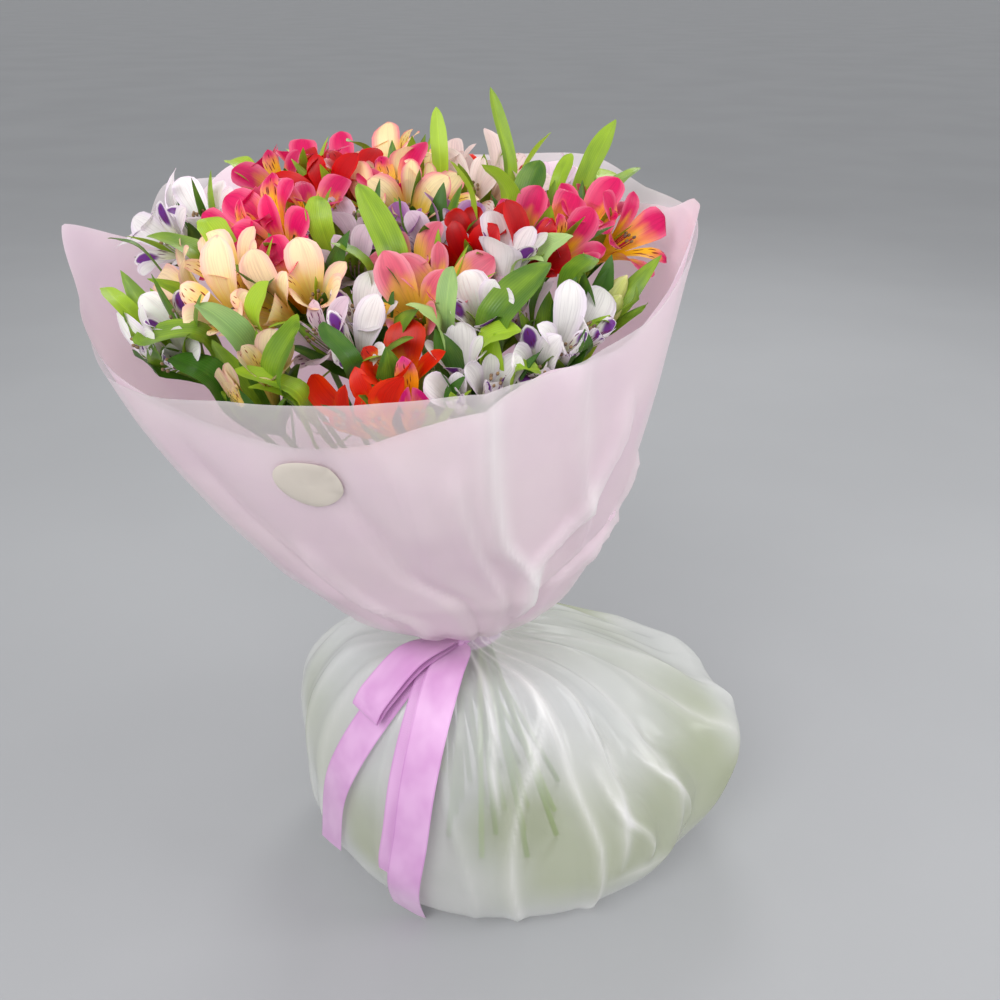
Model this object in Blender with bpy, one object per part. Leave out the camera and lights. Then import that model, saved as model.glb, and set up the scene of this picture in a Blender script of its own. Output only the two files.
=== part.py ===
"""A spiral-tied bouquet of twenty-six alstroemeria stems in a lilac sheet and a frosted film,
with a puffed film skirt over the cut ends and a satin ribbon bow at the tie.

Metres, +Z up, -Y towards the viewer. The origin is on the flat underside of the skirt.
"""

import math
import random

import bmesh
import bpy
import numpy as np
from mathutils import Vector

# Driving sizes
MM = 0.001
TIE_CENTRE = Vector((-28, 0, 178)) * MM
DOME_CENTRE = Vector((-74, -45, 0)) * MM
DOME_RADIUS = 165 * MM
DOME_TOP = 0.508
DOME_CROWN = 30 * MM
DOME_RISE_TO_BACK = 0.17
FRONT_DROP = 22 * MM
BACK_DROP = 22 * MM
UMBEL_DEPTH = 50 * MM
FLORET_SPACING = 26 * MM
LEAF_SPACING = 15 * MM
CELL_MARGIN = 1.0 * MM
PETAL_THICKNESS = 0.7 * MM
LEAF_THICKNESS = 0.7 * MM
STALK_RADIUS = {"foot": 2.2 * MM, "tie": 1.85 * MM, "top": 1.7 * MM}
SPIRAL_CENTRE = Vector((-60, -62)) * MM
TIE_SCALE = 0.111
TIE_TURN = math.radians(-80)
FOOT_TURN = math.radians(-150)
FOOT_SCALE = 0.45
FOOT_CLEARANCE = 2.5 * MM
FILM_THICKNESS = 0.8 * MM
FILM_COLUMNS = 30
FLARE_START = 0.235
SKIRT_COLUMNS = 30
RIBBON_WIDTH = 25 * MM
RIBBON_THICKNESS = 0.7 * MM
KNOT_CENTRE = TIE_CENTRE + Vector((-6, -39.5, 5)) * MM

# The varieties, with the colour of their outer petals
VARIETIES = {
    "white": (0.93, 0.89, 0.92),
    "pink": (0.80, 0.13, 0.27),
    "red": (0.72, 0.03, 0.03),
    "cream": (0.93, 0.70, 0.50),
    "blush": (0.90, 0.68, 0.68),
    "lilac": (0.72, 0.55, 0.70),
    "purple": (0.45, 0.16, 0.42),
    "orchid": (0.88, 0.28, 0.32),
    "peach": (0.93, 0.58, 0.40),
    "scarlet": (0.82, 0.06, 0.03),
    "green": (0.75, 0.78, 0.42),
}

# Each stem: name, variety, plan position of its umbel in mm, florets, turn of the first one
# in degrees, and how far they are open (0 is a bud)
STEMS = (
    ("a", "white", (-183, -58), 3, 250, 0.9),
    ("b", "pink", (-120, -85), 5, 215, 1.0),
    ("c", "red", (-98, -28), 3, 20, 0.9),
    ("d", "cream", (-58, -42), 5, 120, 0.8),
    ("e", "blush", (-14, 3), 4, 78, 0.8),
    ("f", "lilac", (-82, -102), 3, 300, 0.7),
    ("g", "purple", (-41, -90), 3, 170, 0.7),
    ("h", "red", (-4, -104), 3, 240, 1.0),
    ("i", "pink", (24, -75), 3, 198, 0.8),
    ("j", "pink", (60, -35), 3, 330, 0.9),
    ("k", "orchid", (-40, -140), 3, 250, 1.0),
    ("l", "white", (-2, -146), 2, 260, 0.35),
    ("m", "white", (30, -164), 4, 230, 0.9),
    ("n", "peach", (-145, -137), 3, 300, 0.9),
    ("o", "peach", (-108, -143), 3, 100, 0.8),
    ("p", "white", (-177, -158), 3, 163, 0.7),
    ("q", "white", (-77, -169), 3, 51, 0.9),
    ("r", "scarlet", (-49, -205), 4, 266, 1.0),
    ("s", "white", (-12, -192), 3, 247, 0.5),
    ("t", "peach", (-128, -193), 2, 206, 0.33),
    ("v", "green", (56, -126), 3, 300, 0.0),
    ("w", "pink", (-134, 6), 3, 30, 0.8),
    ("x", "pink", (-105, 58), 3, 45, 0.9),
    ("y", "cream", (-62, 20), 3, 10, 0.9),
    ("z", "scarlet", (-34, 76), 3, 70, 0.9),
    ("zz", "lilac", (34, 38), 3, 0, 0.8),
)

# Each leaf: its stem, then its shoulder and its tip as plan x, plan y and height over the
# dome in mm, then its greatest width in mm
LEAVES = (
    ("t", (-126, -178, 4), (-146, -168, 12), 15),
    ("o", (-117, -173, 6), (-108, -166, 20), 16),
    ("n", (-147, -172, 0), (-183, -177, 8), 18),
    ("q", (-105, -197, 4), (-89, -185, 20), 21),
    ("t", (-141, -192, -2), (-167, -188, 6), 18),
    ("q", (-97, -201, 0), (-130, -196, 8), 13),
    ("r", (-99, -204, -2), (-124, -203, 4), 10),
    ("a", (-157, -119, 0), (-184, -110, 10), 16),
    ("a", (-191, -102, 0), (-207, -105, 12), 8),
    ("b", (-145, -117, 4), (-152, -112, 14), 14),
    ("f", (-55, -134, 4), (-74, -104, 22), 14),
    ("f", (-67, -141, 0), (-85, -138, 10), 15),
    ("k", (-30, -174, 2), (-45, -174, 12), 16),
    ("l", (-26, -166, 2), (-23, -159, 20), 9),
    ("l", (-2, -168, 4), (21, -146, 22), 18),
    ("i", (22, -122, 4), (37, -116, 14), 15),
    ("v", (37, -134, 2), (49, -131, 14), 19),
    ("l", (-7, -178, 2), (12, -177, 10), 15),
    ("s", (9, -188, 0), (28, -191, 4), 11),
    ("e", (5, -22, 6), (-7, -15, 46), 13),
    ("d", (-16, -81, 6), (-27, -83, 26), 17),
    ("e", (4, -66, 4), (-10, -75, 22), 18),
    ("i", (13, -37, 6), (29, -39, 34), 17),
    ("i", (14, -69, 4), (22, -59, 24), 15),
    ("j", (53, -7, 6), (70, 8, 42), 17),
    ("j", (34, -30, 4), (42, -18, 20), 8),
    ("j", (68, -10, 4), (85, 2, 20), 12),
    ("d", (-35, -25, 6), (-37, -16, 32), 8),
    ("h", (10, -132, 2), (22, -137, 10), 12),
    ("b", (-93, -110, 2), (-95, -102, 14), 11),
    ("p", (-188, -149, 0), (-203, -142, 8), 10),
    ("q", (-71, -190, 2), (-84, -180, 10), 10),
    ("w", (-156, 4, -2), (-168, 14, 4), 13),
    ("w", (-124, 30, -2), (-134, 46, 6), 14),
    ("x", (-84, 74, -2), (-76, 96, 8), 15),
    ("x", (-120, 50, -2), (-140, 54, 8), 14),
    ("y", (-84, 34, -2), (-96, 26, 6), 14),
    ("z", (-8, 66, -2), (6, 82, 8), 15),
    ("z", (-56, 88, -2), (-64, 104, 6), 14),
    ("zz", (58, 24, 0), (76, 34, 10), 14),
    ("zz", (14, 48, -2), (22, 66, 8), 14),
)

# Wall of the wrapping: height over the tie, centre, radius, and rise towards +X and +Y
WALL = (
    (0.000, -28, 0, 25.5, 0.00, 0.00),
    (0.014, -28, 0, 33, 0.00, 0.00),
    (0.030, -32, -2, 66, 0.00, 0.00),
    (0.052, -37, -6, 92, 0.00, 0.00),
    (0.090, -44, -10, 117, 0.00, 0.01),
    (0.155, -55, -22, 143, 0.00, 0.03),
    (0.215, -63, -33, 162, 0.01, 0.06),
    (0.280, -68, -42, 175, 0.02, 0.10),
    (0.330, -71, -46, 184, 0.02, 0.10),
)

# Upper edges: bearing in degrees (0 is +X, 270 is the front), height over the tie, flare in mm
LILAC_EDGE = (
    (0, 0.312, 2), (12, 0.296, 0), (30, 0.286, 0), (52, 0.298, 4), (75, 0.276, 0),
    (100, 0.288, 2), (118, 0.280, 2), (130, 0.300, 6), (143, 0.284, 4), (160, 0.276, 2),
    (177, 0.302, 13), (192, 0.272, 4), (210, 0.256, 0), (232, 0.252, 0), (262, 0.238, 0),
    (285, 0.258, 0), (302, 0.274, 0), (318, 0.270, 0), (334, 0.286, 0), (348, 0.318, 2),
)
FROSTED_EDGE = (
    (0, 0.306, 0), (25, 0.300, 2), (45, 0.306, 4), (70, 0.298, 2), (100, 0.294, 2),
    (125, 0.292, 4), (144, 0.298, 12), (158, 0.276, 2), (180, 0.262, 0), (205, 0.248, 0),
    (228, 0.258, 0), (250, 0.272, 0), (275, 0.276, 0), (300, 0.276, 0), (325, 0.282, 0),
    (345, 0.300, 0),
)

# Skirt section from the tie down to the middle of the base: radius and height in mm, and the
# share of the bearing's own swell that applies there
SKIRT = (
    (27.5, 166, 0.0), (34.5, 173.5, 0.0), (62, 182, 0.2), (96, 184, 0.6), (124, 163, 0.9),
    (142, 131, 1.0), (150, 94, 1.0), (149, 52, 0.8), (138, 20, 0.5), (122, 4, 0.2),
    (106, 0, 0.0),
)
# Swell of the skirt: bearing in degrees, mm added to the radius, and mm by which its
# shoulder drops
SWELL = (
    (0, 32, 31), (20, 24, 40), (45, 12, 44), (75, 0, 34), (110, 0, 24), (150, -4, 16),
    (180, 2, 12), (200, -2, 6), (220, -8, 2), (240, -10, 0), (270, -14, 0), (295, -4, 2),
    (325, 12, 14), (345, 30, 26),
)
# How much of that drop each row of the skirt takes
SHOULDER = (0, 0, 0.3, 1.0, 1.1, 0.45, -0.1, 0, 0, 0, 0)

# The ribbon over the skirt: bearing, row of the skirt, mm above it and half width in mm
RIGHT_TAIL = (
    (263, 1, 10, 6), (259, 2, 11, 10), (256, 3, 11.5, 12.5), (253, 4, 12, 12.5),
    (250, 5, 12, 12.5), (247, 6, 12, 12.5), (244, 7, 11.5, 12.5), (240.5, 8.5, 7, 12.5),
)
LEFT_TAIL = (
    (260, 1, 7, 6), (249, 2, 7, 10), (240, 3, 6, 12.5), (232, 4, 5.5, 12.5),
    (225, 5, 5.5, 12.5), (218.5, 6, 5.5, 12.5), (211, 7.5, 6, 12.5),
)
LONG_LOOP = (
    (262, 1, 8.5, 6), (255, 2, 9, 10), (252, 3, 9, 12.5), (249, 4, 9, 12.5),
    (246, 5, 9, 12.5), (243, 6, 8.5, 12.5), (240.7, 6.6, 7.4, 12.5), (240, 6.9, 6.8, 12),
    (239.8, 7.0, 5, 12), (240, 6.9, 3.2, 12), (240.7, 6.6, 2.8, 12.5), (243, 6, 3, 12.5),
    (246, 5, 3, 12.5), (249, 4, 3, 12.5),
    (252, 3, 3.5, 12.5), (255, 2, 5, 10), (262, 1, 5.5, 6),
)
SHORT_LOOP = (
    (259, 1, 13, 6), (249, 2, 16, 10), (240, 2.9, 18.5, 12.5), (234, 3.6, 18.5, 12.5),
    (232, 3.9, 17.8, 12.5), (231.6, 4.0, 16, 12.5), (232, 3.9, 14.2, 12.5),
    (234, 3.6, 13.5, 12.5), (240, 2.9, 13, 12.5), (249, 2, 13, 10), (259, 1, 11.5, 6),
)


def clear_scene():
    for old in list(bpy.data.objects):
        bpy.data.objects.remove(old)


def material(name, colour, roughness=0.5):
    made = bpy.data.materials.new(name)
    made.use_nodes = True
    shader = made.node_tree.nodes["Principled BSDF"]
    shader.inputs["Base Color"].default_value = (*colour, 1)
    shader.inputs["Roughness"].default_value = roughness
    return made


def add_object(name, points, faces, finish=None):
    mesh = bpy.data.meshes.new(name)
    mesh.from_pydata([tuple(p) for p in points], [], faces)
    made = bpy.data.objects.new(name, mesh)
    bpy.context.scene.collection.objects.link(made)
    if finish:
        mesh.materials.append(finish)
    return made


# Interpolation round the bouquet and up its wall


def round_curve(table, bearing):
    """Values of a (bearing, value, ...) table at a bearing, eased between its rows."""
    bearing %= 360
    rows = [*table, (table[0][0] + 360, *table[0][1:])]
    for low, high in zip(rows, rows[1:]):
        if low[0] <= bearing <= high[0]:
            share = (bearing - low[0]) / (high[0] - low[0])
            share = share * share * (3 - 2 * share)
            return [a + (b - a) * share for a, b in zip(low[1:], high[1:])]
    return list(rows[-1][1:])


def wall_section(height):
    """Centre x, centre y, radius and the two slopes of the wrapping at a height over the tie."""
    heights = [row[0] for row in WALL]
    return [float(np.interp(height, heights, [row[i] for row in WALL])) for i in range(1, 6)]


def pleats(bearing, count, seed):
    """Uneven folds round the tie, from -1 to 1."""
    draw = random.Random(seed)
    turns = [draw.uniform(0, 2 * math.pi) for _ in range(3)]
    angle = math.radians(bearing)
    wave = 0.6 * math.sin(count * angle + turns[0])
    wave += 0.3 * math.sin((count + 4) * angle + turns[1])
    return wave + 0.25 * math.sin((count - 3) * angle + turns[2])


def wall_point(height, bearing, inset, flare=0.0):
    """A point of the wrapping, inset inwards and flared outwards by metres."""
    x, y, radius, rise_x, rise_y = wall_section(height)
    near_tie = math.exp(-((height / 0.085) ** 2)) * min(1, height / 0.02)
    fold = 3.2 * near_tie * pleats(bearing, 9, 4)
    reach = (radius + fold) * MM - inset + flare
    angle = math.radians(bearing)
    dx, dy = reach * math.cos(angle), reach * math.sin(angle)
    rise = rise_x * dx + rise_y * dy
    return Vector((x * MM + dx, y * MM + dy, TIE_CENTRE.z + height + rise))


def film_sheet(name, edge, inset, finish):
    """A sheet gathered at the tie and opening to its own cut edge."""
    low = [row[0] for row in WALL[:-3]] + [FLARE_START]
    points, faces = [], []
    for row in range(len(low) + 1):
        for column in range(FILM_COLUMNS):
            bearing = 360 * column / FILM_COLUMNS
            top, own_flare = round_curve(edge, bearing)
            height = low[row] if row < len(low) else top
            flare = 0.0
            if row == len(low):
                lilac_top, shared = round_curve(LILAC_EDGE, bearing)
                shared *= (top - FLARE_START) / (lilac_top - FLARE_START)
                flare = (own_flare if edge is LILAC_EDGE else own_flare + shared) * MM
            point = wall_point(height, bearing, inset, flare)
            points.append(point + Vector((0, 0, inset)))
    for row in range(len(low)):
        for column in range(FILM_COLUMNS):
            a = row * FILM_COLUMNS + column
            b = row * FILM_COLUMNS + (column + 1) % FILM_COLUMNS
            faces.append((a, b, b + FILM_COLUMNS, a + FILM_COLUMNS))
    made = add_object(name, points, faces, finish)
    thicken(made, FILM_THICKNESS, -1)
    return made


def thicken(made, thickness, side):
    wall = made.modifiers.new("film", "SOLIDIFY")
    wall.thickness = thickness
    wall.offset = side
    wall.use_even_offset = False


def skirt_point(row, bearing):
    radius, height, swell_share = SKIRT[row]
    out, drop = round_curve(SWELL, bearing)
    depth = row / (len(SKIRT) - 1)
    calm = 1 - 0.8 * math.exp(-(((bearing % 360) - 240) / 38) ** 2)
    fold = pleats(bearing, 8, 11) * calm
    if 2 < row < len(SKIRT) - 2:
        out += 6.0 * math.sin(math.pi * depth) * fold
    reach = radius + out * swell_share
    if row in (1, 2):
        reach += 2.0 * fold
    centre = TIE_CENTRE.x * max(0.0, 1 - 1.6 * depth)
    angle = math.radians(bearing)
    lift = (height - drop * SHOULDER[row]) * MM
    return Vector((centre + reach * MM * math.cos(angle), reach * MM * math.sin(angle), lift))


def film_skirt(finish):
    """The puffed film bag round the cut ends, open at the tie and flat beneath."""
    points, faces = [], []
    for row in range(len(SKIRT)):
        for column in range(SKIRT_COLUMNS):
            points.append(skirt_point(row, 360 * column / SKIRT_COLUMNS))
    for row in range(len(SKIRT) - 1):
        for column in range(SKIRT_COLUMNS):
            a = row * SKIRT_COLUMNS + column
            b = row * SKIRT_COLUMNS + (column + 1) % SKIRT_COLUMNS
            faces.append((a, a + SKIRT_COLUMNS, b + SKIRT_COLUMNS, b))
    last = (len(SKIRT) - 1) * SKIRT_COLUMNS
    faces.append(tuple(last + c for c in reversed(range(SKIRT_COLUMNS))))
    made = add_object("film_skirt", points, faces, finish)
    thicken(made, FILM_THICKNESS, -1)
    return made


# The dome of flowers and the room that each floret and leaf has in it


def dome_point(plan, over=0.0):
    """The point of the flower dome over a plan position in metres."""
    x, y = plan
    share = ((x - DOME_CENTRE.x) ** 2 + (y - DOME_CENTRE.y) ** 2) / DOME_RADIUS**2
    top = DOME_TOP + DOME_RISE_TO_BACK * (y - DOME_CENTRE.y) - DOME_CROWN * share
    top -= FRONT_DROP * max(0.0, (-0.12 - y) / 0.09) ** 2 + BACK_DROP * max(0.0, y / 0.08) ** 2
    return Vector((x, y, top + over))


def floret_homes():
    """The plan position of every floret, spread round its umbel and then eased apart."""
    homes, owners = [], []
    for name, _, plan, count, turn, _ in STEMS:
        ring = 17 if count < 4 else 20
        for k in range(count):
            angle = math.radians(turn + 360 * k / min(count, 4))
            reach = 0 if k == 4 else ring
            homes.append((plan[0] + reach * math.cos(angle), plan[1] + reach * math.sin(angle)))
            owners.append(name)
    places = np.array(homes) * MM
    start = places.copy()
    leaf_spots = np.array([spot for leaf in LEAVES for spot in leaf_spots_of(leaf)])
    centre = np.array(DOME_CENTRE[:2])
    for _ in range(60):
        push = np.zeros_like(places)
        for i, place in enumerate(places):
            for others, gap in ((places, FLORET_SPACING), (leaf_spots, LEAF_SPACING)):
                away = place - others
                far = np.hypot(away[:, 0], away[:, 1])
                near = (far < gap) & (far > 1e-9)
                push[i] += (away[near] / far[near, None] * (gap - far[near, None]) * 0.4).sum(0)
        places = places + push + (start - places) * 0.06
        out = places - centre
        far = np.hypot(out[:, 0], out[:, 1])
        limit = DOME_RADIUS - 6 * MM
        places = np.where((far > limit)[:, None], centre + out * (limit / far)[:, None], places)
    return places, owners


def leaf_spots_of(leaf):
    """Plan positions of the two visible stations of a leaf."""
    _, shoulder, tip, _ = leaf
    shoulder, tip = np.array(shoulder[:2]) * MM, np.array(tip[:2]) * MM
    return [shoulder, shoulder * 0.25 + tip * 0.75]


def cell_walls(owner, direction, pieces):
    """Normals of the planes through the tie that part this direction from other pieces."""
    normals = []
    for other, others_direction, kind in pieces:
        if other == owner[0]:
            continue
        share = 0.5
        if kind != owner[1]:
            share = 0.66 if owner[1] == "floret" else 0.34
        between = direction.lerp(others_direction, share).normalized()
        if (others_direction - direction).length > 0.35:
            continue
        normal = direction - between * direction.dot(between)
        if normal.length > 1e-6:
            normals.append(normal.normalized())
    return np.array([tuple(n) for n in normals])


def keep_inside(points, walls, margin):
    """Moves points to the near side of every plane, so that neighbours never meet."""
    points = np.array([tuple(p) for p in points]) - np.array(TIE_CENTRE)
    for _ in range(12):
        for normal in walls:
            short = np.clip(margin - points @ normal, 0, None)
            points = points + short[:, None] * normal
    points = points + np.array(TIE_CENTRE)
    return [Vector(inside_wrapping(p)) for p in points]


def inside_wrapping(point):
    """Draws a point in from the wall of the wrapping."""
    height = min(max(point[2] - TIE_CENTRE.z, 0), 0.27)
    x, y, radius, _, _ = wall_section(height)
    dx, dy = point[0] - x * MM, point[1] - y * MM
    far = math.hypot(dx, dy)
    limit = radius * MM - 8 * MM
    if far > limit:
        point = (x * MM + dx * limit / far, y * MM + dy * limit / far, point[2])
    return tuple(point)


# Florets, leaves and stalks


def cross_frame(axis):
    side = Vector((0, 0, 1)).cross(axis)
    if side.length < 1e-3:
        side = Vector((1, 0, 0))
    side.normalize()
    return side, axis.cross(side)


def umbel_base(name):
    plan = next(Vector(stem[2]) * MM for stem in STEMS if stem[0] == name)
    crown = dome_point(plan)
    return crown - (crown - TIE_CENTRE).normalized() * UMBEL_DEPTH


def strip_sides(count):
    """Sides of a strip between its four-point sections. The two broad sides split alike."""
    faces = []
    for i in range(0, 4 * (count - 1), 4):
        faces += [(i, i + 1, i + 5, i + 4), (i + 1, i + 2, i + 6, i + 5),
                  (i + 3, i + 7, i + 6, i + 2), (i + 3, i, i + 4, i + 7)]
    return faces


def strip_solid(rings, tip, thicknesses):
    """Points and faces of a blade with a rectangular section that ends in a point.

    Each ring is its left and right edge. The first ring stays open, for a base to close."""
    points = []
    for i, (left, right) in enumerate(rings):
        after = rings[i + 1] if i + 1 < len(rings) else (tip, tip)
        before = rings[max(i - 1, 0)]
        along = (after[0] + after[1]) / 2 - (before[0] + before[1]) / 2
        normal = (right - left).cross(along).normalized() * thicknesses[i] / 2
        points += [left + normal, right + normal, right - normal, left - normal]
    points.append(tip)
    faces = strip_sides(len(rings))
    last = 4 * (len(rings) - 1)
    faces += [(last + k, last + (k + 1) % 4, len(points) - 1) for k in range(4)]
    return points, faces


def room(centre, out, across, reach, half, walls):
    """The reach and half width that a petal's station can have inside its own cell."""
    middle = np.array(centre - TIE_CENTRE)
    depth = walls @ middle - CELL_MARGIN
    along, beside = walls @ np.array(out), np.abs(walls @ np.array(across))
    for step in range(14):
        far = reach * (1 - 0.06 * step)
        wide = min(half, max(1.2 * MM, far * math.tan(math.radians(30)) - 0.9 * MM))
        clear = np.all(depth + far * along - wide * beside >= 0)
        edges = [centre + out * far + across * wide, centre + out * far - across * wide]
        if clear and all(wrapping_gap(edge) > 6 * MM for edge in edges):
            return far, wide
    return max(3.6 * MM, reach * 0.2), 1.2 * MM


def wrapping_gap(point):
    """How far a point is inside the wall of the wrapping."""
    height = min(max(point[2] - TIE_CENTRE.z, 0), 0.27)
    x, y, radius, _, _ = wall_section(height)
    return radius * MM - math.hypot(point[0] - x * MM, point[1] - y * MM)


def petal_rings(base, axis, bearing, opening, outer, walls):
    """Edges and tip of one petal of a floret, as world points."""
    side, up = cross_frame(axis)
    out = side * math.cos(bearing) + up * math.sin(bearing)
    across = axis.cross(out)
    length = (37 if outer else 35) * MM
    mouth = (4 + (18 if outer else 14) * opening) * MM
    stations = ((0.78, 0.78, 8.0),) if outer else ((0.62, 0.50, 4.4),)
    rings = []
    for along, spread, half in stations:
        centre = base + axis * length * along
        reach = 3 * MM + mouth * spread
        reach, half = room(centre, out, across, reach, half * MM, walls)
        middle = centre + out * reach
        rings.append((middle - across * half, middle + across * half))
    centre = base + axis * length * (1 - 0.1 * opening)
    reach, _ = room(centre, out, across, 3 * MM + mouth * 1.05, 0.6 * MM, walls)
    return rings, centre + out * reach


def floret_solid(root, base, axis, opening, turn, walls):
    """One floret on its pedicel: a six-sided cup whose sides run out as petals."""
    side, up = cross_frame(axis)
    points, faces = [], []
    radius, height = 3 * MM, 5 * MM

    def ring(centre, size):
        start = len(points)
        for k in range(6):
            angle = turn + math.radians(60 * k)
            points.append(centre + (side * math.cos(angle) + up * math.sin(angle)) * size)
        return [start + k for k in range(6)]

    low = ring(base, radius)
    high = ring(base + axis * height, radius)
    points.append(root - axis * 1.5 * MM)
    foot = len(points) - 1
    faces += [(foot, low[(k + 1) % 6], low[k]) for k in range(6)]
    faces.append(tuple(high))
    for k in range(6):
        bearing = turn + math.radians(60 * k + 30)
        a, b, c, d = low[k], low[(k + 1) % 6], high[(k + 1) % 6], high[k]
        rings, tip = petal_rings(base, axis, bearing, opening, k % 2 == 0, walls)
        start = len(points)
        made, strip = strip_solid(rings, tip, [PETAL_THICKNESS])
        points += made
        faces += [tuple(start + i for i in face) for face in strip]
        first = [start, start + 1, start + 2, start + 3]
        w, x, y, z = first
        faces += [(a, b, x, w), (b, c, y, x), (d, z, y, c), (d, a, w, z)]
    return points, faces


def bud_solid(root, base, axis, length, width):
    """A closed floret: a six-sided spindle on its pedicel."""
    side, up = cross_frame(axis)
    points, faces, last = [], [], None
    rows = ((root, 1.1 * MM), (base, 2.8 * MM), (base + axis * length * 0.55, width / 2),
            (base + axis * length * 0.85, width * 0.33))
    for centre, size in rows:
        start = len(points)
        for k in range(6):
            angle = math.radians(60 * k)
            points.append(centre + (side * math.cos(angle) + up * math.sin(angle)) * size)
        ring = [start + k for k in range(6)]
        if last:
            faces += [(last[k], last[(k + 1) % 6], ring[(k + 1) % 6], ring[k]) for k in range(6)]
        else:
            faces.append(tuple(reversed(ring)))
        last = ring
    points.append(base + axis * length)
    faces += [(last[k], last[(k + 1) % 6], len(points) - 1) for k in range(6)]
    return points, faces


def floret_frame(stem_name, plan):
    """Base point and axis of the floret that opens at a plan position."""
    root = umbel_base(stem_name)
    mouth = dome_point(plan)
    base = root.lerp(mouth, 0.34)
    return root, base, (mouth - base).normalized()


def leaf_rings(leaf, place, walls_of):
    """Edges and tip of a leaf that leaves its stalk, rises between the florets and leans over."""
    name, shoulder, tip, width = leaf
    _, tie, top = stalk_line(name)
    start = top + (tie - top).normalized() * (16 + 6 * place) * MM
    over = dome_point((shoulder[0] * MM, shoulder[1] * MM), shoulder[2] * MM)
    end = dome_point((tip[0] * MM, tip[1] * MM), tip[2] * MM)
    rise = (over - TIE_CENTRE).normalized()
    heading = Vector((end.x - over.x, end.y - over.y, 0)).normalized()
    across = heading.cross(Vector((0, 0, 1)))
    low = over - rise * 55 * MM
    first = Vector((low.x - start.x, low.y - start.y, 0)).cross(Vector((0, 0, 1))).normalized()
    first = -first if first.dot(across) < 0 else first
    rings = [(start - first * 0.9 * MM, start + first * 0.9 * MM)]
    late = over.lerp(end, 0.6) + rise * 2 * MM
    turned = (first + across).normalized()
    stations = ((low, 0.1, 0, turned), (over - rise * 24 * MM, 0.72, 0, across),
                (over, 1.0, 0, across), (late, 0.78, 1, across))
    for middle, wide, station, across in stations:
        walls = walls_of(station)
        middle = keep_inside([middle], walls, 3 * MM)[0]
        half = width * wide * MM / 2
        spare = walls @ np.array(middle - TIE_CENTRE) - CELL_MARGIN
        beside = np.abs(walls @ np.array(across)) + 1e-9
        half = max(1.4 * MM, min(half, float(np.min(spare / beside))))
        half = 1.0 * MM if len(rings) == 1 else half
        rings.append((middle - across * half, middle + across * half))
    return rings, keep_inside([end], walls_of(1), CELL_MARGIN)[0]


def leaf_solid(rings, tip):
    points, faces = strip_solid(rings, tip, [1.8 * MM, 1.6 * MM] + [LEAF_THICKNESS] * 3)
    faces.append((3, 2, 1, 0))
    return points, faces


def rotated(plan, angle):
    return Vector((plan.x * math.cos(angle) - plan.y * math.sin(angle),
                   plan.x * math.sin(angle) + plan.y * math.cos(angle)))


def stalk_line(name):
    """Foot, tie and top of a stalk in the spiral."""
    plan = next(Vector(stem[2]) * MM for stem in STEMS if stem[0] == name)
    from_centre = plan - SPIRAL_CENTRE
    at_tie = rotated(from_centre, TIE_TURN) * TIE_SCALE
    at_foot = rotated(from_centre, FOOT_TURN) * FOOT_SCALE
    top = umbel_base(name)
    top -= (top - TIE_CENTRE).normalized() * 3.4 * MM
    tie = Vector((TIE_CENTRE.x + at_tie.x, TIE_CENTRE.y + at_tie.y, TIE_CENTRE.z))
    return Vector((at_foot.x, at_foot.y, FOOT_CLEARANCE)), tie, top


def stalk_solid(name):
    foot, tie, top = stalk_line(name)
    points, faces = [], []
    ways = ((foot, (tie - foot), STALK_RADIUS["foot"]), (tie, (top - foot), STALK_RADIUS["tie"]),
            (top, (top - tie), STALK_RADIUS["top"]))
    for centre, way, radius in ways:
        side, up = cross_frame(way.normalized())
        for k in range(6):
            angle = math.radians(60 * k)
            points.append(centre + (side * math.cos(angle) + up * math.sin(angle)) * radius)
    faces.append(tuple(reversed(range(6))))
    for row in (0, 6):
        faces += [(row + k, row + (k + 1) % 6, row + 6 + (k + 1) % 6, row + 6 + k) for k in range(6)]
    faces.append(tuple(range(12, 18)))
    return points, faces


def triangles(faces):
    """The faces cut into triangles, so that none is bent."""
    return [(f[0], f[i], f[i + 1]) for f in faces for i in range(1, len(f) - 1)]


def joined(name, solids, finish):
    """One body from solids that meet: the first takes in the others by a Boolean union."""
    solids = [(points, triangles(faces)) for points, faces in solids]
    others = bpy.data.collections.new(name + "_parts")
    bpy.context.scene.collection.children.link(others)
    base = add_object(name, *solids[0], finish)
    for i, (points, faces) in enumerate(solids[1:]):
        mesh = bpy.data.meshes.new(f"{name}_{i}")
        mesh.from_pydata([tuple(p) for p in points], [], faces)
        others.objects.link(bpy.data.objects.new(f"{name}_{i}", mesh))
    union = base.modifiers.new("union", "BOOLEAN")
    union.operation = "UNION"
    union.operand_type = "COLLECTION"
    union.collection = others
    union.solver = "EXACT"
    graph = bpy.context.evaluated_depsgraph_get()
    made = bpy.data.meshes.new_from_object(base.evaluated_get(graph))
    base.modifiers.clear()
    tidy = bmesh.new()
    tidy.from_mesh(made)
    bmesh.ops.remove_doubles(tidy, verts=tidy.verts, dist=0.05 * MM)
    bmesh.ops.dissolve_degenerate(tidy, edges=tidy.edges, dist=0.02 * MM)
    tidy.to_mesh(made)
    tidy.free()
    base.data = made
    for part in list(others.objects):
        bpy.data.objects.remove(part)
    bpy.data.collections.remove(others)
    return base


def outward_facing(points, faces):
    """The same solid with its faces pointing out."""
    volume = 0.0
    for face in faces:
        for i in range(1, len(face) - 1):
            a, b, c = points[face[0]], points[face[i]], points[face[i + 1]]
            volume += a.dot(b.cross(c))
    if volume < 0:
        faces = [tuple(reversed(face)) for face in faces]
    return points, faces


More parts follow.
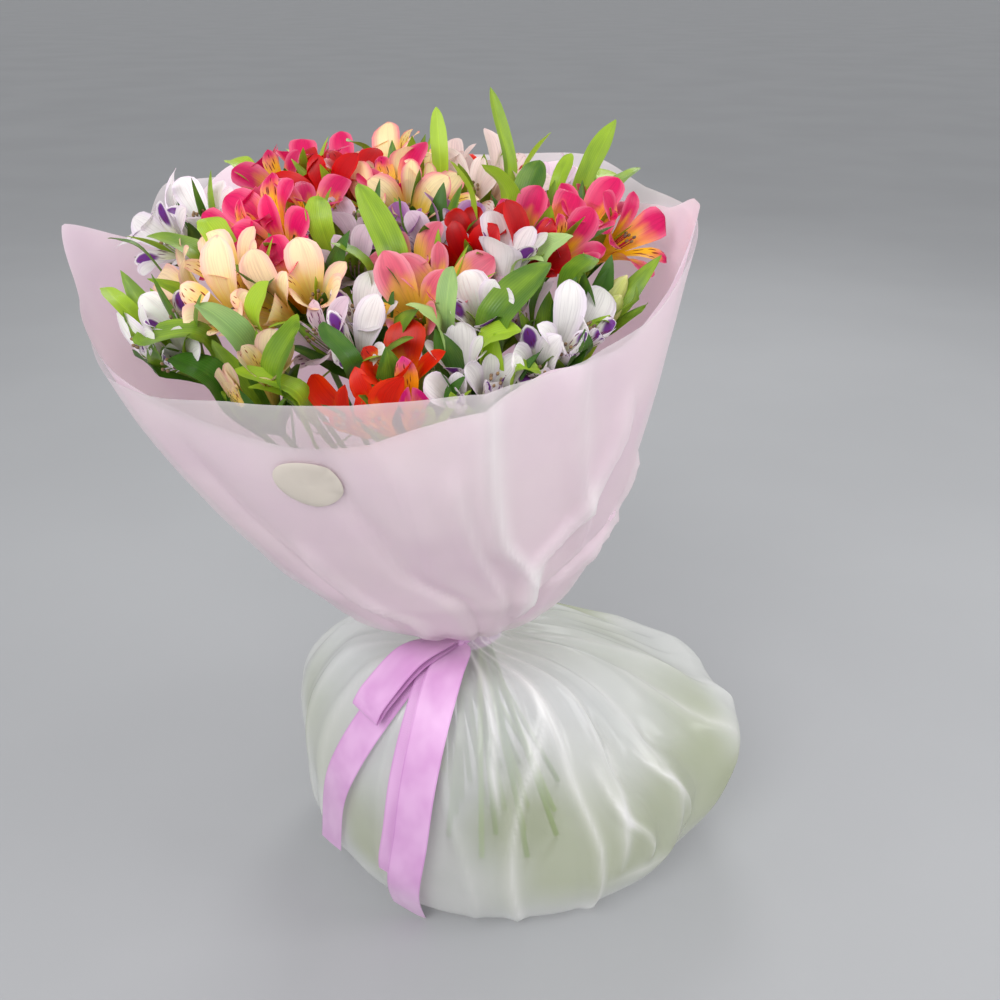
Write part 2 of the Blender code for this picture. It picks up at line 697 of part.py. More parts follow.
def receptacle(centre, axis):
    """The knob at the top of a stem where the pedicels part."""
    side, up = cross_frame(axis)
    points = [centre - axis * 3 * MM]
    for k in range(6):
        angle = math.radians(60 * k)
        points.append(centre + (side * math.cos(angle) + up * math.sin(angle)) * 3.6 * MM)
    points.append(centre + axis * 3.4 * MM)
    faces = [(0, 1 + (k + 1) % 6, 1 + k) for k in range(6)]
    faces += [(7, 1 + k, 1 + (k + 1) % 6) for k in range(6)]
    return points, faces


def build_stems(greens, colours):
    places, owners = floret_homes()
    pieces = []
    for i, place in enumerate(places):
        way = (dome_point(place) - TIE_CENTRE).normalized()
        pieces.append((f"floret{i}", way, "floret"))
    for i, leaf in enumerate(LEAVES):
        for spot in leaf_spots_of(leaf):
            way = (dome_point(spot) - TIE_CENTRE).normalized()
            pieces.append((f"leaf{i}", way, "leaf"))
    for name, variety, _, count, _, opening in STEMS:
        draw = random.Random(name)
        solids = [receptacle(umbel_base(name), (umbel_base(name) - TIE_CENTRE).normalized())]
        for i in [i for i, owner in enumerate(owners) if owner == name]:
            root, base, axis = floret_frame(name, places[i])
            walls = cell_walls((f"floret{i}", "floret"), pieces[i][1], pieces)
            if opening < 0.2:
                shape = bud_solid(root, base, axis, draw.uniform(24, 32) * MM, 12 * MM)
            else:
                wide = opening * draw.uniform(0.85, 1.1)
                turn = draw.uniform(0, math.pi)
                shape = floret_solid(root, base, axis, wide, turn, walls)
            solids.append(outward_facing(*shape))
        joined(f"umbel_{name}", solids, colours[variety])
        solids = [stalk_solid(name)]
        own = [i for i, leaf in enumerate(LEAVES) if leaf[0] == name]
        for place, i in enumerate(own):
            ways = [p[1] for p in pieces if p[0] == f"leaf{i}"]

            def walls_of(station, owner=f"leaf{i}", ways=ways):
                return cell_walls((owner, "leaf"), ways[station], pieces)

            solids.append(outward_facing(*leaf_solid(*leaf_rings(LEAVES[i], place, walls_of))))
        joined(f"leafy_stem_{name}", solids, greens)


# Tie, ribbon and label


def ring_solid(name, inner, outer, low, high, columns, finish):
    points = []
    for radius, z in ((outer, low), (outer, high), (inner, high), (inner, low)):
        for k in range(columns):
            angle = 2 * math.pi * k / columns
            points.append(Vector((TIE_CENTRE.x + radius * math.cos(angle),
                                  TIE_CENTRE.y + radius * math.sin(angle), z)))
    faces = []
    for row in range(4):
        for k in range(columns):
            a, b = row * columns + k, row * columns + (k + 1) % columns
            c, d = (a + columns) % (4 * columns), (b + columns) % (4 * columns)
            faces.append((a, b, d, c))
    if name:
        add_object(name, points, faces, finish)
    return points, faces


def on_skirt(bearing, row, lift):
    """A point over the skirt, between two of its rows, and the way that its film faces."""
    low = min(int(row), len(SKIRT) - 2)

    def at(turn, along):
        k = min(int(along), len(SKIRT) - 2)
        return skirt_point(k, turn).lerp(skirt_point(k + 1, turn), along - k)

    point = at(bearing, row)
    down = at(bearing, min(row + 0.6, len(SKIRT) - 1.01)) - at(bearing, max(row - 0.6, 0))
    beside = at(bearing + 4, row) - at(bearing - 4, row)
    out = (point - TIE_CENTRE) * Vector((1, 1, 0))
    facing = down.cross(beside).normalized() + out.normalized() * max(0, 1.8 - row)
    facing.normalize()
    return point + facing * lift * MM, facing


def ribbon_strip(stations, slant=0.0):
    """A length of ribbon over the skirt that starts in the knot, and ends there if it is a loop.

    Slant is how far its cut end leans along one edge."""
    surface = [on_skirt(bearing, row, 0) for bearing, row, _, _ in stations]
    middles = [on_skirt(*station[:3])[0] for station in stations]
    last = len(stations) - 1
    acrosses = []
    for i in range(last + 1):
        way = surface[min(i + 1, last)][0] - surface[max(i - 1, 0)][0]
        if way.length > 12 * MM or not acrosses:
            across = way.cross(surface[i][1]).normalized()
            turned = acrosses and across.dot(acrosses[-1]) < 0
            acrosses.append(-across if turned else across)
        else:
            acrosses.append(acrosses[-1])
    for end, beside in ((0, 1), (last, last - 1)):
        if stations[end][1] == 1:
            middles[end] = KNOT_CENTRE + Vector((0, 0, (stations[end][2] - 9.3) * MM))
            acrosses[end] = acrosses[beside]
    points = []
    for i, (middle, across) in enumerate(zip(middles, acrosses)):
        along = (middles[min(i + 1, last)] - middles[max(i - 1, 0)]).normalized()
        normal = across.cross(along).normalized() * RIBBON_THICKNESS / 2
        half = stations[i][3] * MM
        cut = along * slant if i == last else Vector()
        left, right = middle - across * half + cut, middle + across * half - cut
        points += [left + normal, right + normal, right - normal, left - normal]
    faces = strip_sides(last + 1)
    faces += [(3, 2, 1, 0), (4 * last, 4 * last + 1, 4 * last + 2, 4 * last + 3)]
    return outward_facing(points, faces)


def knot_solid(centre):
    """The pulled-in middle of the bow, a rounded lump."""
    points, faces = [], []
    for z, size in ((-5.5, 0.35), (-2.5, 0.9), (2, 1.0), (5, 0.85), (8, 0.4)):
        for k in range(8):
            angle = 2 * math.pi * k / 8
            points.append(centre + Vector((12 * size * math.cos(angle),
                                           10 * size * math.sin(angle), z)) * MM)
    for row in range(4):
        for k in range(8):
            a, b = row * 8 + k, row * 8 + (k + 1) % 8
            faces.append((a, b, b + 8, a + 8))
    faces += [tuple(reversed(range(8))), tuple(range(32, 40))]
    return points, faces


def satin_ribbon(finish):
    band = ring_solid("", 28.3 * MM, 31.5 * MM, 0.1765, 0.1815, 20, finish)
    knot = knot_solid(KNOT_CENTRE)
    strips = [ribbon_strip(RIGHT_TAIL, 6 * MM), ribbon_strip(LEFT_TAIL, -6 * MM),
              ribbon_strip(LONG_LOOP), ribbon_strip(SHORT_LOOP)]
    joined("satin_ribbon", [outward_facing(*band), outward_facing(*knot), *strips], finish)


def round_label(finish):
    """A blank round sticker that follows the frosted film."""
    height, bearing = 0.217, 258.5
    points = [wall_point(height, bearing, -1.1 * MM)]
    for k in range(18):
        angle = math.radians(20 * k)
        over, round_by = 17.5 * MM * math.sin(angle), 6.1 * math.cos(angle)
        points.append(wall_point(height + over, bearing + round_by, -1.1 * MM))
    faces = [(0, 1 + k, 1 + (k + 1) % 18) for k in range(18)]
    thicken(add_object("label", points, faces, finish), 0.6 * MM, 1)


def main():
    clear_scene()
    green = material("leaf_green", (0.13, 0.32, 0.04), 0.45)
    colours = {name: material("petal_" + name, rgb, 0.5) for name, rgb in VARIETIES.items()}
    lilac = material("lilac_sheet", (0.80, 0.66, 0.80), 0.5)
    frosted = material("frosted_film", (0.88, 0.88, 0.88), 0.4)
    satin = material("satin", (0.80, 0.45, 0.76), 0.35)
    twine = material("twine", (0.45, 0.33, 0.20), 0.9)
    paper = material("label_paper", (0.80, 0.76, 0.70), 0.6)
    build_stems(green, colours)
    ring_solid("binding_tie", 20.0 * MM, 21.9 * MM, 0.172, 0.184, 16, twine)
    film_sheet("lilac_sheet", LILAC_EDGE, 2.2 * MM, lilac)
    film_sheet("frosted_film", FROSTED_EDGE, 0.0, frosted)
    film_skirt(frosted)
    satin_ribbon(satin)
    round_label(paper)


main()
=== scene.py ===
# %% [markdown]
# # A bouquet of alstroemeria in two films
# Twenty-six stems are tied in a spiral, wrapped in a lilac sheet and a frosted film, and closed
# with a satin bow over a puffed skirt of film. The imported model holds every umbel, leaf, sheet and
# ribbon as a plain solid. Here each one is made again as a thin curved surface with its own
# finish, in the same frame, so nothing has to be fitted.

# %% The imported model
import math
import random
from functools import lru_cache

import bpy
import numpy as np
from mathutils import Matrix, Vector


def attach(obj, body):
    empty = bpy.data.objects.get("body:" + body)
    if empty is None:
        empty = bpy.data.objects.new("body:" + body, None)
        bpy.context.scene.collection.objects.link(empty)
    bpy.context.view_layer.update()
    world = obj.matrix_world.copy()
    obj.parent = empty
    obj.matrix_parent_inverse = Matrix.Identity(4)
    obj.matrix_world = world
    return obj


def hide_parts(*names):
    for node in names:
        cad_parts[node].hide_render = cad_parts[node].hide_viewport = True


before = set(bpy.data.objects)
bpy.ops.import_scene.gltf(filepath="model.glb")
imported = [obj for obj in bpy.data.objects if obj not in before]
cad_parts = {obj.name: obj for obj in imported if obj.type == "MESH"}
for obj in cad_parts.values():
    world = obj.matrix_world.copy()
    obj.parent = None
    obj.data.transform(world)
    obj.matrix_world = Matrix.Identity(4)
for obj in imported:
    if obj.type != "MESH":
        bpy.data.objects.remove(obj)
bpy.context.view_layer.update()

# %% [markdown]
# ## The camera and the light
# The bouquet was looked at from a little above, from standing height and close by. A lens of
# 37.8 mm on a 36 mm sensor gives that view. The light is a pale sky with one large soft lamp
# over the left shoulder and a weaker one on the right, as in a shop with white ceiling panels.

# %% Camera
MM = 0.001
lens = bpy.data.cameras.new("camera")
lens.lens = 37.8
lens.sensor_width = 36
camera = bpy.data.objects.new("camera", lens)
camera.location = (0, -0.662, 0.61)
camera.rotation_euler = (math.radians(90 - 26.5), 0, 0)
bpy.context.scene.collection.objects.link(camera)
bpy.context.scene.camera = camera
bpy.context.scene.view_settings.view_transform = "Standard"
print("camera height", camera.location.z)


# %% Light and floor
def soft_lamp(name, place, target, size, power):
    light = bpy.data.lights.new(name, "AREA")
    light.shape = "DISK"
    light.size = size
    light.energy = power
    lamp = bpy.data.objects.new(name, light)
    lamp.location = place
    way = Vector(target) - Vector(place)
    lamp.rotation_euler = way.to_track_quat("-Z", "Y").to_euler()
    bpy.context.scene.collection.objects.link(lamp)


soft_lamp("key_lamp", (-0.6, -1.5, 1.5), (-0.03, 0, 0.3), 1.3, 30)
soft_lamp("side_lamp", (1.5, -0.5, 1.0), (0, 0, 0.3), 0.9, 12)
soft_lamp("back_lamp", (0.2, 1.4, 1.5), (0, 0, 0.35), 0.8, 12)

world = bpy.data.worlds.new("sky")
world.use_nodes = True
world.node_tree.nodes["Background"].inputs["Color"].default_value = (0.93, 0.94, 0.96, 1)
world.node_tree.nodes["Background"].inputs["Strength"].default_value = 0.78
bpy.context.scene.world = world

floor_mesh = bpy.data.meshes.new("floor")
floor_mesh.from_pydata([(-40, -4, -0.0005), (40, -4, -0.0005), (40, 80, -0.0005), (-40, 80, -0.0005)], [], [(0, 1, 2, 3)])
floor = bpy.data.objects.new("floor", floor_mesh)
bpy.context.scene.collection.objects.link(floor)

# %% [markdown]
# ## The tie, the dome and the wall
# All shapes follow three surfaces: the dome that the flowers make, the wall of the wrapping, and
# the skirt below the tie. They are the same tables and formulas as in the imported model's source,
# so a petal made here stands where its solid stands.

# %% Driving sizes
TIE_CENTRE = Vector((-28, 0, 178)) * MM
DOME_CENTRE = Vector((-74, -45, 0)) * MM
DOME_RADIUS = 165 * MM
DOME_TOP = 0.508
DOME_CROWN = 30 * MM
DOME_RISE_TO_BACK = 0.17
FRONT_DROP = 22 * MM
BACK_DROP = 22 * MM
UMBEL_DEPTH = 50 * MM
FLORET_SPACING = 26 * MM
LEAF_SPACING = 15 * MM
CELL_MARGIN = 1.0 * MM
SPIRAL_CENTRE = Vector((-60, -62)) * MM
TIE_SCALE = 0.111
TIE_TURN = math.radians(-80)
FOOT_TURN = math.radians(-150)
FOOT_SCALE = 0.45
FOOT_CLEARANCE = 2.5 * MM
FLARE_START = 0.235
KNOT_CENTRE = TIE_CENTRE + Vector((-6, -43, 13)) * MM

# Wall of the wrapping: height over the tie, centre, radius, and rise towards +X and +Y
WALL = (
    (0.000, -28, 0, 25.5, 0.00, 0.00),
    (0.014, -28, 0, 33, 0.00, 0.00),
    (0.030, -32, -2, 66, 0.00, 0.00),
    (0.052, -37, -6, 92, 0.00, 0.00),
    (0.090, -44, -10, 117, 0.00, 0.01),
    (0.155, -55, -22, 143, 0.00, 0.03),
    (0.215, -63, -33, 162, 0.01, 0.06),
    (0.280, -68, -42, 175, 0.02, 0.10),
    (0.330, -71, -46, 184, 0.02, 0.10),
)

# Upper edges: bearing in degrees (0 is +X, 270 is the front), height over the tie, flare in mm
LILAC_EDGE = (
    (0, 0.312, 2), (12, 0.296, 0), (30, 0.286, 0), (52, 0.298, 4), (75, 0.276, 0),
    (100, 0.288, 2), (118, 0.280, 2), (130, 0.300, 6), (143, 0.284, 4), (160, 0.276, 2),
    (177, 0.302, 13), (192, 0.272, 4), (210, 0.256, 0), (232, 0.252, 0), (262, 0.238, 0),
    (285, 0.258, 0), (302, 0.274, 0), (318, 0.270, 0), (334, 0.286, 0), (348, 0.318, 2),
)
FROSTED_EDGE = (
    (0, 0.306, 0), (25, 0.300, 2), (45, 0.306, 4), (70, 0.298, 2), (100, 0.294, 2),
    (125, 0.292, 4), (144, 0.298, 12), (158, 0.276, 2), (180, 0.262, 0), (205, 0.248, 0),
    (228, 0.258, 0), (250, 0.272, 0), (275, 0.276, 0), (300, 0.276, 0), (325, 0.282, 0),
    (345, 0.300, 0),
)

# Skirt section from the tie down to the middle of the base: radius, height, share of the swell,
# and share of the drop of its shoulder
SKIRT = (
    (27.5, 166, 0.0, 0.0), (34.5, 173.5, 0.0, 0.0), (62, 182, 0.2, 0.3), (96, 184, 0.6, 1.0),
    (124, 163, 0.9, 1.1), (142, 131, 1.0, 0.45), (150, 94, 1.0, -0.1), (149, 52, 0.8, 0.0),
    (138, 20, 0.5, 0.0), (122, 4, 0.2, 0.0), (106, 0, 0.0, 0.0),
)
# Swell of the skirt: bearing, mm added to the radius, mm by which its shoulder drops
SWELL = (
    (0, 32, 31), (20, 24, 40), (45, 12, 44), (75, 0, 34), (110, 0, 24), (150, -4, 16),
    (180, 2, 12), (200, -2, 6), (220, -8, 2), (240, -10, 0), (270, -14, 0), (295, -4, 2),
    (325, 12, 14), (345, 30, 26),
)


# %% Curves round the bouquet and up its wall
def round_curve(table, bearing, pointed=0.0):
    """Values of a (bearing, value, ...) table at a bearing, eased or pointed at its rows."""
    bearing %= 360
    rows = [*table, (table[0][0] + 360, *table[0][1:])]
    for low, high in zip(rows, rows[1:]):
        if low[0] <= bearing <= high[0]:
            share = (bearing - low[0]) / (high[0] - low[0])
            eased = share * share * (3 - 2 * share)
            share = eased + (share - eased) * pointed
            return [a + (b - a) * share for a, b in zip(low[1:], high[1:])]
    return list(rows[-1][1:])


def wall_section(height):
    heights = [row[0] for row in WALL]
    return [float(np.interp(height, heights, [row[i] for row in WALL])) for i in range(1, 6)]


def pleats(bearing, count, seed):
    draw = random.Random(seed)
    turns = [draw.uniform(0, 2 * math.pi) for _ in range(3)]
    angle = math.radians(bearing)
    wave = 0.6 * math.sin(count * angle + turns[0])
    wave += 0.3 * math.sin((count + 4) * angle + turns[1])
    return wave + 0.25 * math.sin((count - 3) * angle + turns[2])


def smooth_rows(table, at):
    """A table's values at a fractional row, on a smooth curve through its rows."""
    rows = np.array(table, float)
    k = min(int(at), len(rows) - 2)
    t = at - k
    p0, p1, p2, p3 = rows[max(k - 1, 0)], rows[k], rows[k + 1], rows[min(k + 2, len(rows) - 1)]
    return 0.5 * (2 * p1 + (p2 - p0) * t + (2 * p0 - 5 * p1 + 4 * p2 - p3) * t * t
                  + (3 * p1 - p0 - 3 * p2 + p3) * t**3)


# %% The dome of flowers
def dome_point(plan, over=0.0):
    x, y = plan
    share = ((x - DOME_CENTRE.x) ** 2 + (y - DOME_CENTRE.y) ** 2) / DOME_RADIUS**2
    top = DOME_TOP + DOME_RISE_TO_BACK * (y - DOME_CENTRE.y) - DOME_CROWN * share
    top -= FRONT_DROP * max(0.0, (-0.12 - y) / 0.09) ** 2 + BACK_DROP * max(0.0, y / 0.08) ** 2
    return Vector((x, y, top + over))


def cross_frame(axis):
    side = Vector((0, 0, 1)).cross(axis)
    if side.length < 1e-3:
        side = Vector((1, 0, 0))
    side.normalize()
    return side, axis.cross(side)


def inside_wrapping(point):
    height = min(max(point[2] - TIE_CENTRE.z, 0), 0.27)
    x, y, radius, _, _ = wall_section(height)
    dx, dy = point[0] - x * MM, point[1] - y * MM
    far = math.hypot(dx, dy)
    limit = radius * MM - 8 * MM
    if far > limit:
        point = (x * MM + dx * limit / far, y * MM + dy * limit / far, point[2])
    return tuple(point)


def wrapping_gap(point):
    height = min(max(point[2] - TIE_CENTRE.z, 0), 0.27)
    x, y, radius, _, _ = wall_section(height)
    return radius * MM - math.hypot(point[0] - x * MM, point[1] - y * MM)


# %% [markdown]
# ## Stems, florets and leaves
# Each stem carries an umbel of two to five florets and some leaves that rise between them. The
# florets are eased apart over the dome, and each one keeps to its own cell, so that neighbours
# touch but don't run through each other.

# %% Stems: name, variety, plan of the umbel in mm, florets, turn in degrees, opening
STEMS = (
    ("a", "white", (-183, -58), 3, 250, 0.9),
    ("b", "pink", (-120, -85), 5, 215, 1.0),
    ("c", "red", (-98, -28), 3, 20, 0.9),
    ("d", "cream", (-58, -42), 5, 120, 0.8),
    ("e", "blush", (-14, 3), 4, 78, 0.8),
    ("f", "lilac", (-82, -102), 3, 300, 0.7),
    ("g", "purple", (-41, -90), 3, 170, 0.7),
    ("h", "red", (-4, -104), 3, 240, 1.0),
    ("i", "pink", (24, -75), 3, 198, 0.8),
    ("j", "pink", (60, -35), 3, 330, 0.9),
    ("k", "orchid", (-40, -140), 3, 250, 1.0),
    ("l", "white", (-2, -146), 2, 260, 0.35),
    ("m", "white", (30, -164), 4, 230, 0.9),
    ("n", "peach", (-145, -137), 3, 300, 0.9),
    ("o", "peach", (-108, -143), 3, 100, 0.8),
    ("p", "white", (-177, -158), 3, 163, 0.7),
    ("q", "white", (-77, -169), 3, 51, 0.9),
    ("r", "scarlet", (-49, -205), 4, 266, 1.0),
    ("s", "white", (-12, -192), 3, 247, 0.5),
    ("t", "peach", (-128, -193), 2, 206, 0.33),
    ("v", "green", (56, -126), 3, 300, 0.0),
    ("w", "pink", (-134, 6), 3, 30, 0.8),
    ("x", "pink", (-105, 58), 3, 45, 0.9),
    ("y", "cream", (-62, 20), 3, 10, 0.9),
    ("z", "scarlet", (-34, 76), 3, 70, 0.9),
    ("zz", "lilac", (34, 38), 3, 0, 0.8),
)

# Each leaf: its stem, its shoulder and its tip as plan x, y and height over the dome in mm, and
# its greatest width in mm
LEAVES = (
    ("t", (-126, -178, 4), (-146, -168, 12), 15),
    ("o", (-117, -173, 6), (-108, -166, 20), 16),
    ("n", (-147, -172, 0), (-183, -177, 8), 18),
    ("q", (-105, -197, 4), (-89, -185, 20), 21),
    ("t", (-141, -192, -2), (-167, -188, 6), 18),
    ("q", (-97, -201, 0), (-130, -196, 8), 13),
    ("r", (-99, -204, -2), (-124, -203, 4), 10),
    ("a", (-157, -119, 0), (-184, -110, 10), 16),
    ("a", (-191, -102, 0), (-207, -105, 12), 8),
    ("b", (-145, -117, 4), (-152, -112, 14), 14),
    ("f", (-55, -134, 4), (-74, -104, 22), 14),
    ("f", (-67, -141, 0), (-85, -138, 10), 15),
    ("k", (-30, -174, 2), (-45, -174, 12), 16),
    ("l", (-26, -166, 2), (-23, -159, 20), 9),
    ("l", (-2, -168, 4), (21, -146, 22), 18),
    ("i", (22, -122, 4), (37, -116, 14), 15),
    ("v", (37, -134, 2), (49, -131, 14), 19),
    ("l", (-7, -178, 2), (12, -177, 10), 15),
    ("s", (9, -188, 0), (28, -191, 4), 11),
    ("e", (5, -22, 6), (-7, -15, 46), 13),
    ("d", (-16, -81, 6), (-27, -83, 26), 17),
    ("e", (4, -66, 4), (-10, -75, 22), 18),
    ("i", (13, -37, 6), (29, -39, 34), 17),
    ("i", (14, -69, 4), (22, -59, 24), 15),
    ("j", (53, -7, 6), (70, 8, 42), 17),
    ("j", (34, -30, 4), (42, -18, 20), 8),
    ("j", (68, -10, 4), (85, 2, 20), 12),
    ("d", (-35, -25, 6), (-37, -16, 32), 8),
    ("h", (10, -132, 2), (22, -137, 10), 12),
    ("b", (-93, -110, 2), (-95, -102, 14), 11),
    ("p", (-188, -149, 0), (-203, -142, 8), 10),
    ("q", (-71, -190, 2), (-84, -180, 10), 10),
    ("w", (-156, 4, -2), (-168, 14, 4), 13),
    ("w", (-124, 30, -2), (-134, 46, 6), 14),
    ("x", (-84, 74, -2), (-76, 96, 8), 15),
    ("x", (-120, 50, -2), (-140, 54, 8), 14),
    ("y", (-84, 34, -2), (-96, 26, 6), 14),
    ("z", (-8, 66, -2), (6, 82, 8), 15),
    ("z", (-56, 88, -2), (-64, 104, 6), 14),
    ("zz", (58, 24, 0), (76, 34, 10), 14),
    ("zz", (14, 48, -2), (22, 66, 8), 14),
)


# %% Where each floret and leaf stands
def leaf_spots_of(leaf):
    _, shoulder, tip, _ = leaf
    shoulder, tip = np.array(shoulder[:2]) * MM, np.array(tip[:2]) * MM
    return [shoulder, shoulder * 0.25 + tip * 0.75]


def floret_homes():
    """The plan position of every floret, spread round its umbel and then eased apart."""
    homes, owners = [], []
    for name, _, plan, count, turn, _ in STEMS:
        ring = 17 if count < 4 else 20
        for k in range(count):
            angle = math.radians(turn + 360 * k / min(count, 4))
            reach = 0 if k == 4 else ring
            homes.append((plan[0] + reach * math.cos(angle), plan[1] + reach * math.sin(angle)))
            owners.append(name)
    places = np.array(homes) * MM
    start = places.copy()
    leaf_spots = np.array([spot for leaf in LEAVES for spot in leaf_spots_of(leaf)])
    centre = np.array(DOME_CENTRE[:2])
    for _ in range(60):
        push = np.zeros_like(places)
        for i, place in enumerate(places):
            for others, gap in ((places, FLORET_SPACING), (leaf_spots, LEAF_SPACING)):
                away = place - others
                far = np.hypot(away[:, 0], away[:, 1])
                near = (far < gap) & (far > 1e-9)
                push[i] += (away[near] / far[near, None] * (gap - far[near, None]) * 0.4).sum(0)
        places = places + push + (start - places) * 0.06
        out = places - centre
        far = np.hypot(out[:, 0], out[:, 1])
        limit = DOME_RADIUS - 6 * MM
        places = np.where((far > limit)[:, None], centre + out * (limit / far)[:, None], places)
    return places, owners


def umbel_base(name):
    plan = next(Vector(stem[2]) * MM for stem in STEMS if stem[0] == name)
    crown = dome_point(plan)
    return crown - (crown - TIE_CENTRE).normalized() * UMBEL_DEPTH


places, owners = floret_homes()
cells = [(f"floret{i}", (dome_point(place) - TIE_CENTRE).normalized(), "floret")
         for i, place in enumerate(places)]
for i, leaf in enumerate(LEAVES):
    for spot in leaf_spots_of(leaf):
        cells.append((f"leaf{i}", (dome_point(spot) - TIE_CENTRE).normalized(), "leaf"))
print("florets", len(places), "leaves", len(LEAVES))


# %% The walls of a cell
def cell_walls(owner, direction):
    """Normals of the planes through the tie that part this direction from its neighbours."""
    normals = []
    for other, others_direction, kind in cells:
        if other == owner[0] or (others_direction - direction).length > 0.35:
            continue
        share = 0.5
        if kind != owner[1]:
            share = 0.66 if owner[1] == "floret" else 0.34
        between = direction.lerp(others_direction, share).normalized()
        normal = direction - between * direction.dot(between)
        if normal.length > 1e-6:
            normals.append(normal.normalized())
    return np.array([tuple(n) for n in normals])


def keep_inside(points, walls, margin):
    points = np.array([tuple(p) for p in points]) - np.array(TIE_CENTRE)
    for _ in range(12):
        for normal in walls:
            short = np.clip(margin - points @ normal, 0, None)
            points = points + short[:, None] * normal
    points = points + np.array(TIE_CENTRE)
    return [Vector(inside_wrapping(p)) for p in points]


def room(centre, out, across, reach, half, walls, margin):
    """The reach and half width that a petal can have inside its own cell."""
    depth = walls @ np.array(centre - TIE_CENTRE) - margin
    along, beside = walls @ np.array(out), np.abs(walls @ np.array(across))
    for step in range(14):
        far = reach * (1 - 0.06 * step)
        wide = min(half, max(1.2 * MM, far * math.tan(math.radians(30)) - 0.9 * MM))
        clear = np.all(depth + far * along - wide * beside >= 0)
        edges = [centre + out * far + across * wide, centre + out * far - across * wide]
        if clear and all(wrapping_gap(edge) > 6 * MM for edge in edges):
            return far
    return max(3.6 * MM, reach * 0.2)


# %% [markdown]
# ## One mesh from many curved patches
# A petal, a leaf and a stalk are all grids of points. A small collector keeps their points and
# faces, and gives every corner a UV place, across and along the patch, which the finishes read
# for streaks and veins. A tone per patch makes no two petals quite alike.

# %% The collector
class Patchwork:
    def __init__(self):
        self.points, self.faces, self.slots, self.uvs, self.tones = [], [], [], [], []

    def patch(self, grid, slot, tone=0.5):
        """Adds a grid of points, in rows along the piece and columns across it."""
        rows, columns = len(grid), len(grid[0])
        start = len(self.points)
        for r, row in enumerate(grid):
            for c, point in enumerate(row):
                self.points.append(tuple(point))
                self.uvs.append((c / (columns - 1), r / (rows - 1)))
                self.tones.append(tone[r][c] if isinstance(tone, list) else tone)
        for r in range(rows - 1):
            for c in range(columns - 1):
                a = start + r * columns + c
                self.faces.append((a, a + 1, a + columns + 1, a + columns))
                self.slots.append(slot)

    def make(self, name, finishes):
        mesh = bpy.data.meshes.new(name)
        mesh.from_pydata(self.points, [], self.faces)
        for finish in finishes:
            mesh.materials.append(finish)
        mesh.polygons.foreach_set("material_index", self.slots)
        mesh.polygons.foreach_set("use_smooth", [True] * len(self.faces))
        corners = np.empty(len(mesh.loops), int)
        mesh.loops.foreach_get("vertex_index", corners)
        layer = mesh.uv_layers.new(name="place")
        layer.data.foreach_set("uv", np.array(self.uvs)[corners].ravel())
        tone = mesh.attributes.new("tone", "FLOAT", "POINT")
        tone.data.foreach_set("value", self.tones)
        made = bpy.data.objects.new(name, mesh)
        bpy.context.scene.collection.objects.link(made)
        return made


def tube(path, radii, sides=8):
    """Rings of points round a path."""
    rows = []
    for i, (point, radius) in enumerate(zip(path, radii)):
        way = path[min(i + 1, len(path) - 1)] - path[max(i - 1, 0)]
        side, up = cross_frame(way.normalized())
        ring = [point + (side * math.cos(a) + up * math.sin(a)) * radius
                for a in [2 * math.pi * k / sides for k in range(sides + 1)]]
        rows.append(ring)
    return rows


def bent(points, count):
    """Points on a smooth curve through the given ones."""
    table = [tuple(p) for p in points]
    last = len(table) - 1
    return [Vector(smooth_rows(table, last * k / (count - 1))) for k in range(count)]


# %% [markdown]
# ## Finishes
# A finish is a small node tree. `Recipe` keeps the calls short: it adds a node, sets its values
# and links its inputs in one line. A colour is given as it looks on a screen, from 0 to 255.

# %% Node helper
def tint(red, green, blue):
    return (*[(v / 255) ** 2.2 for v in (red, green, blue)], 1)


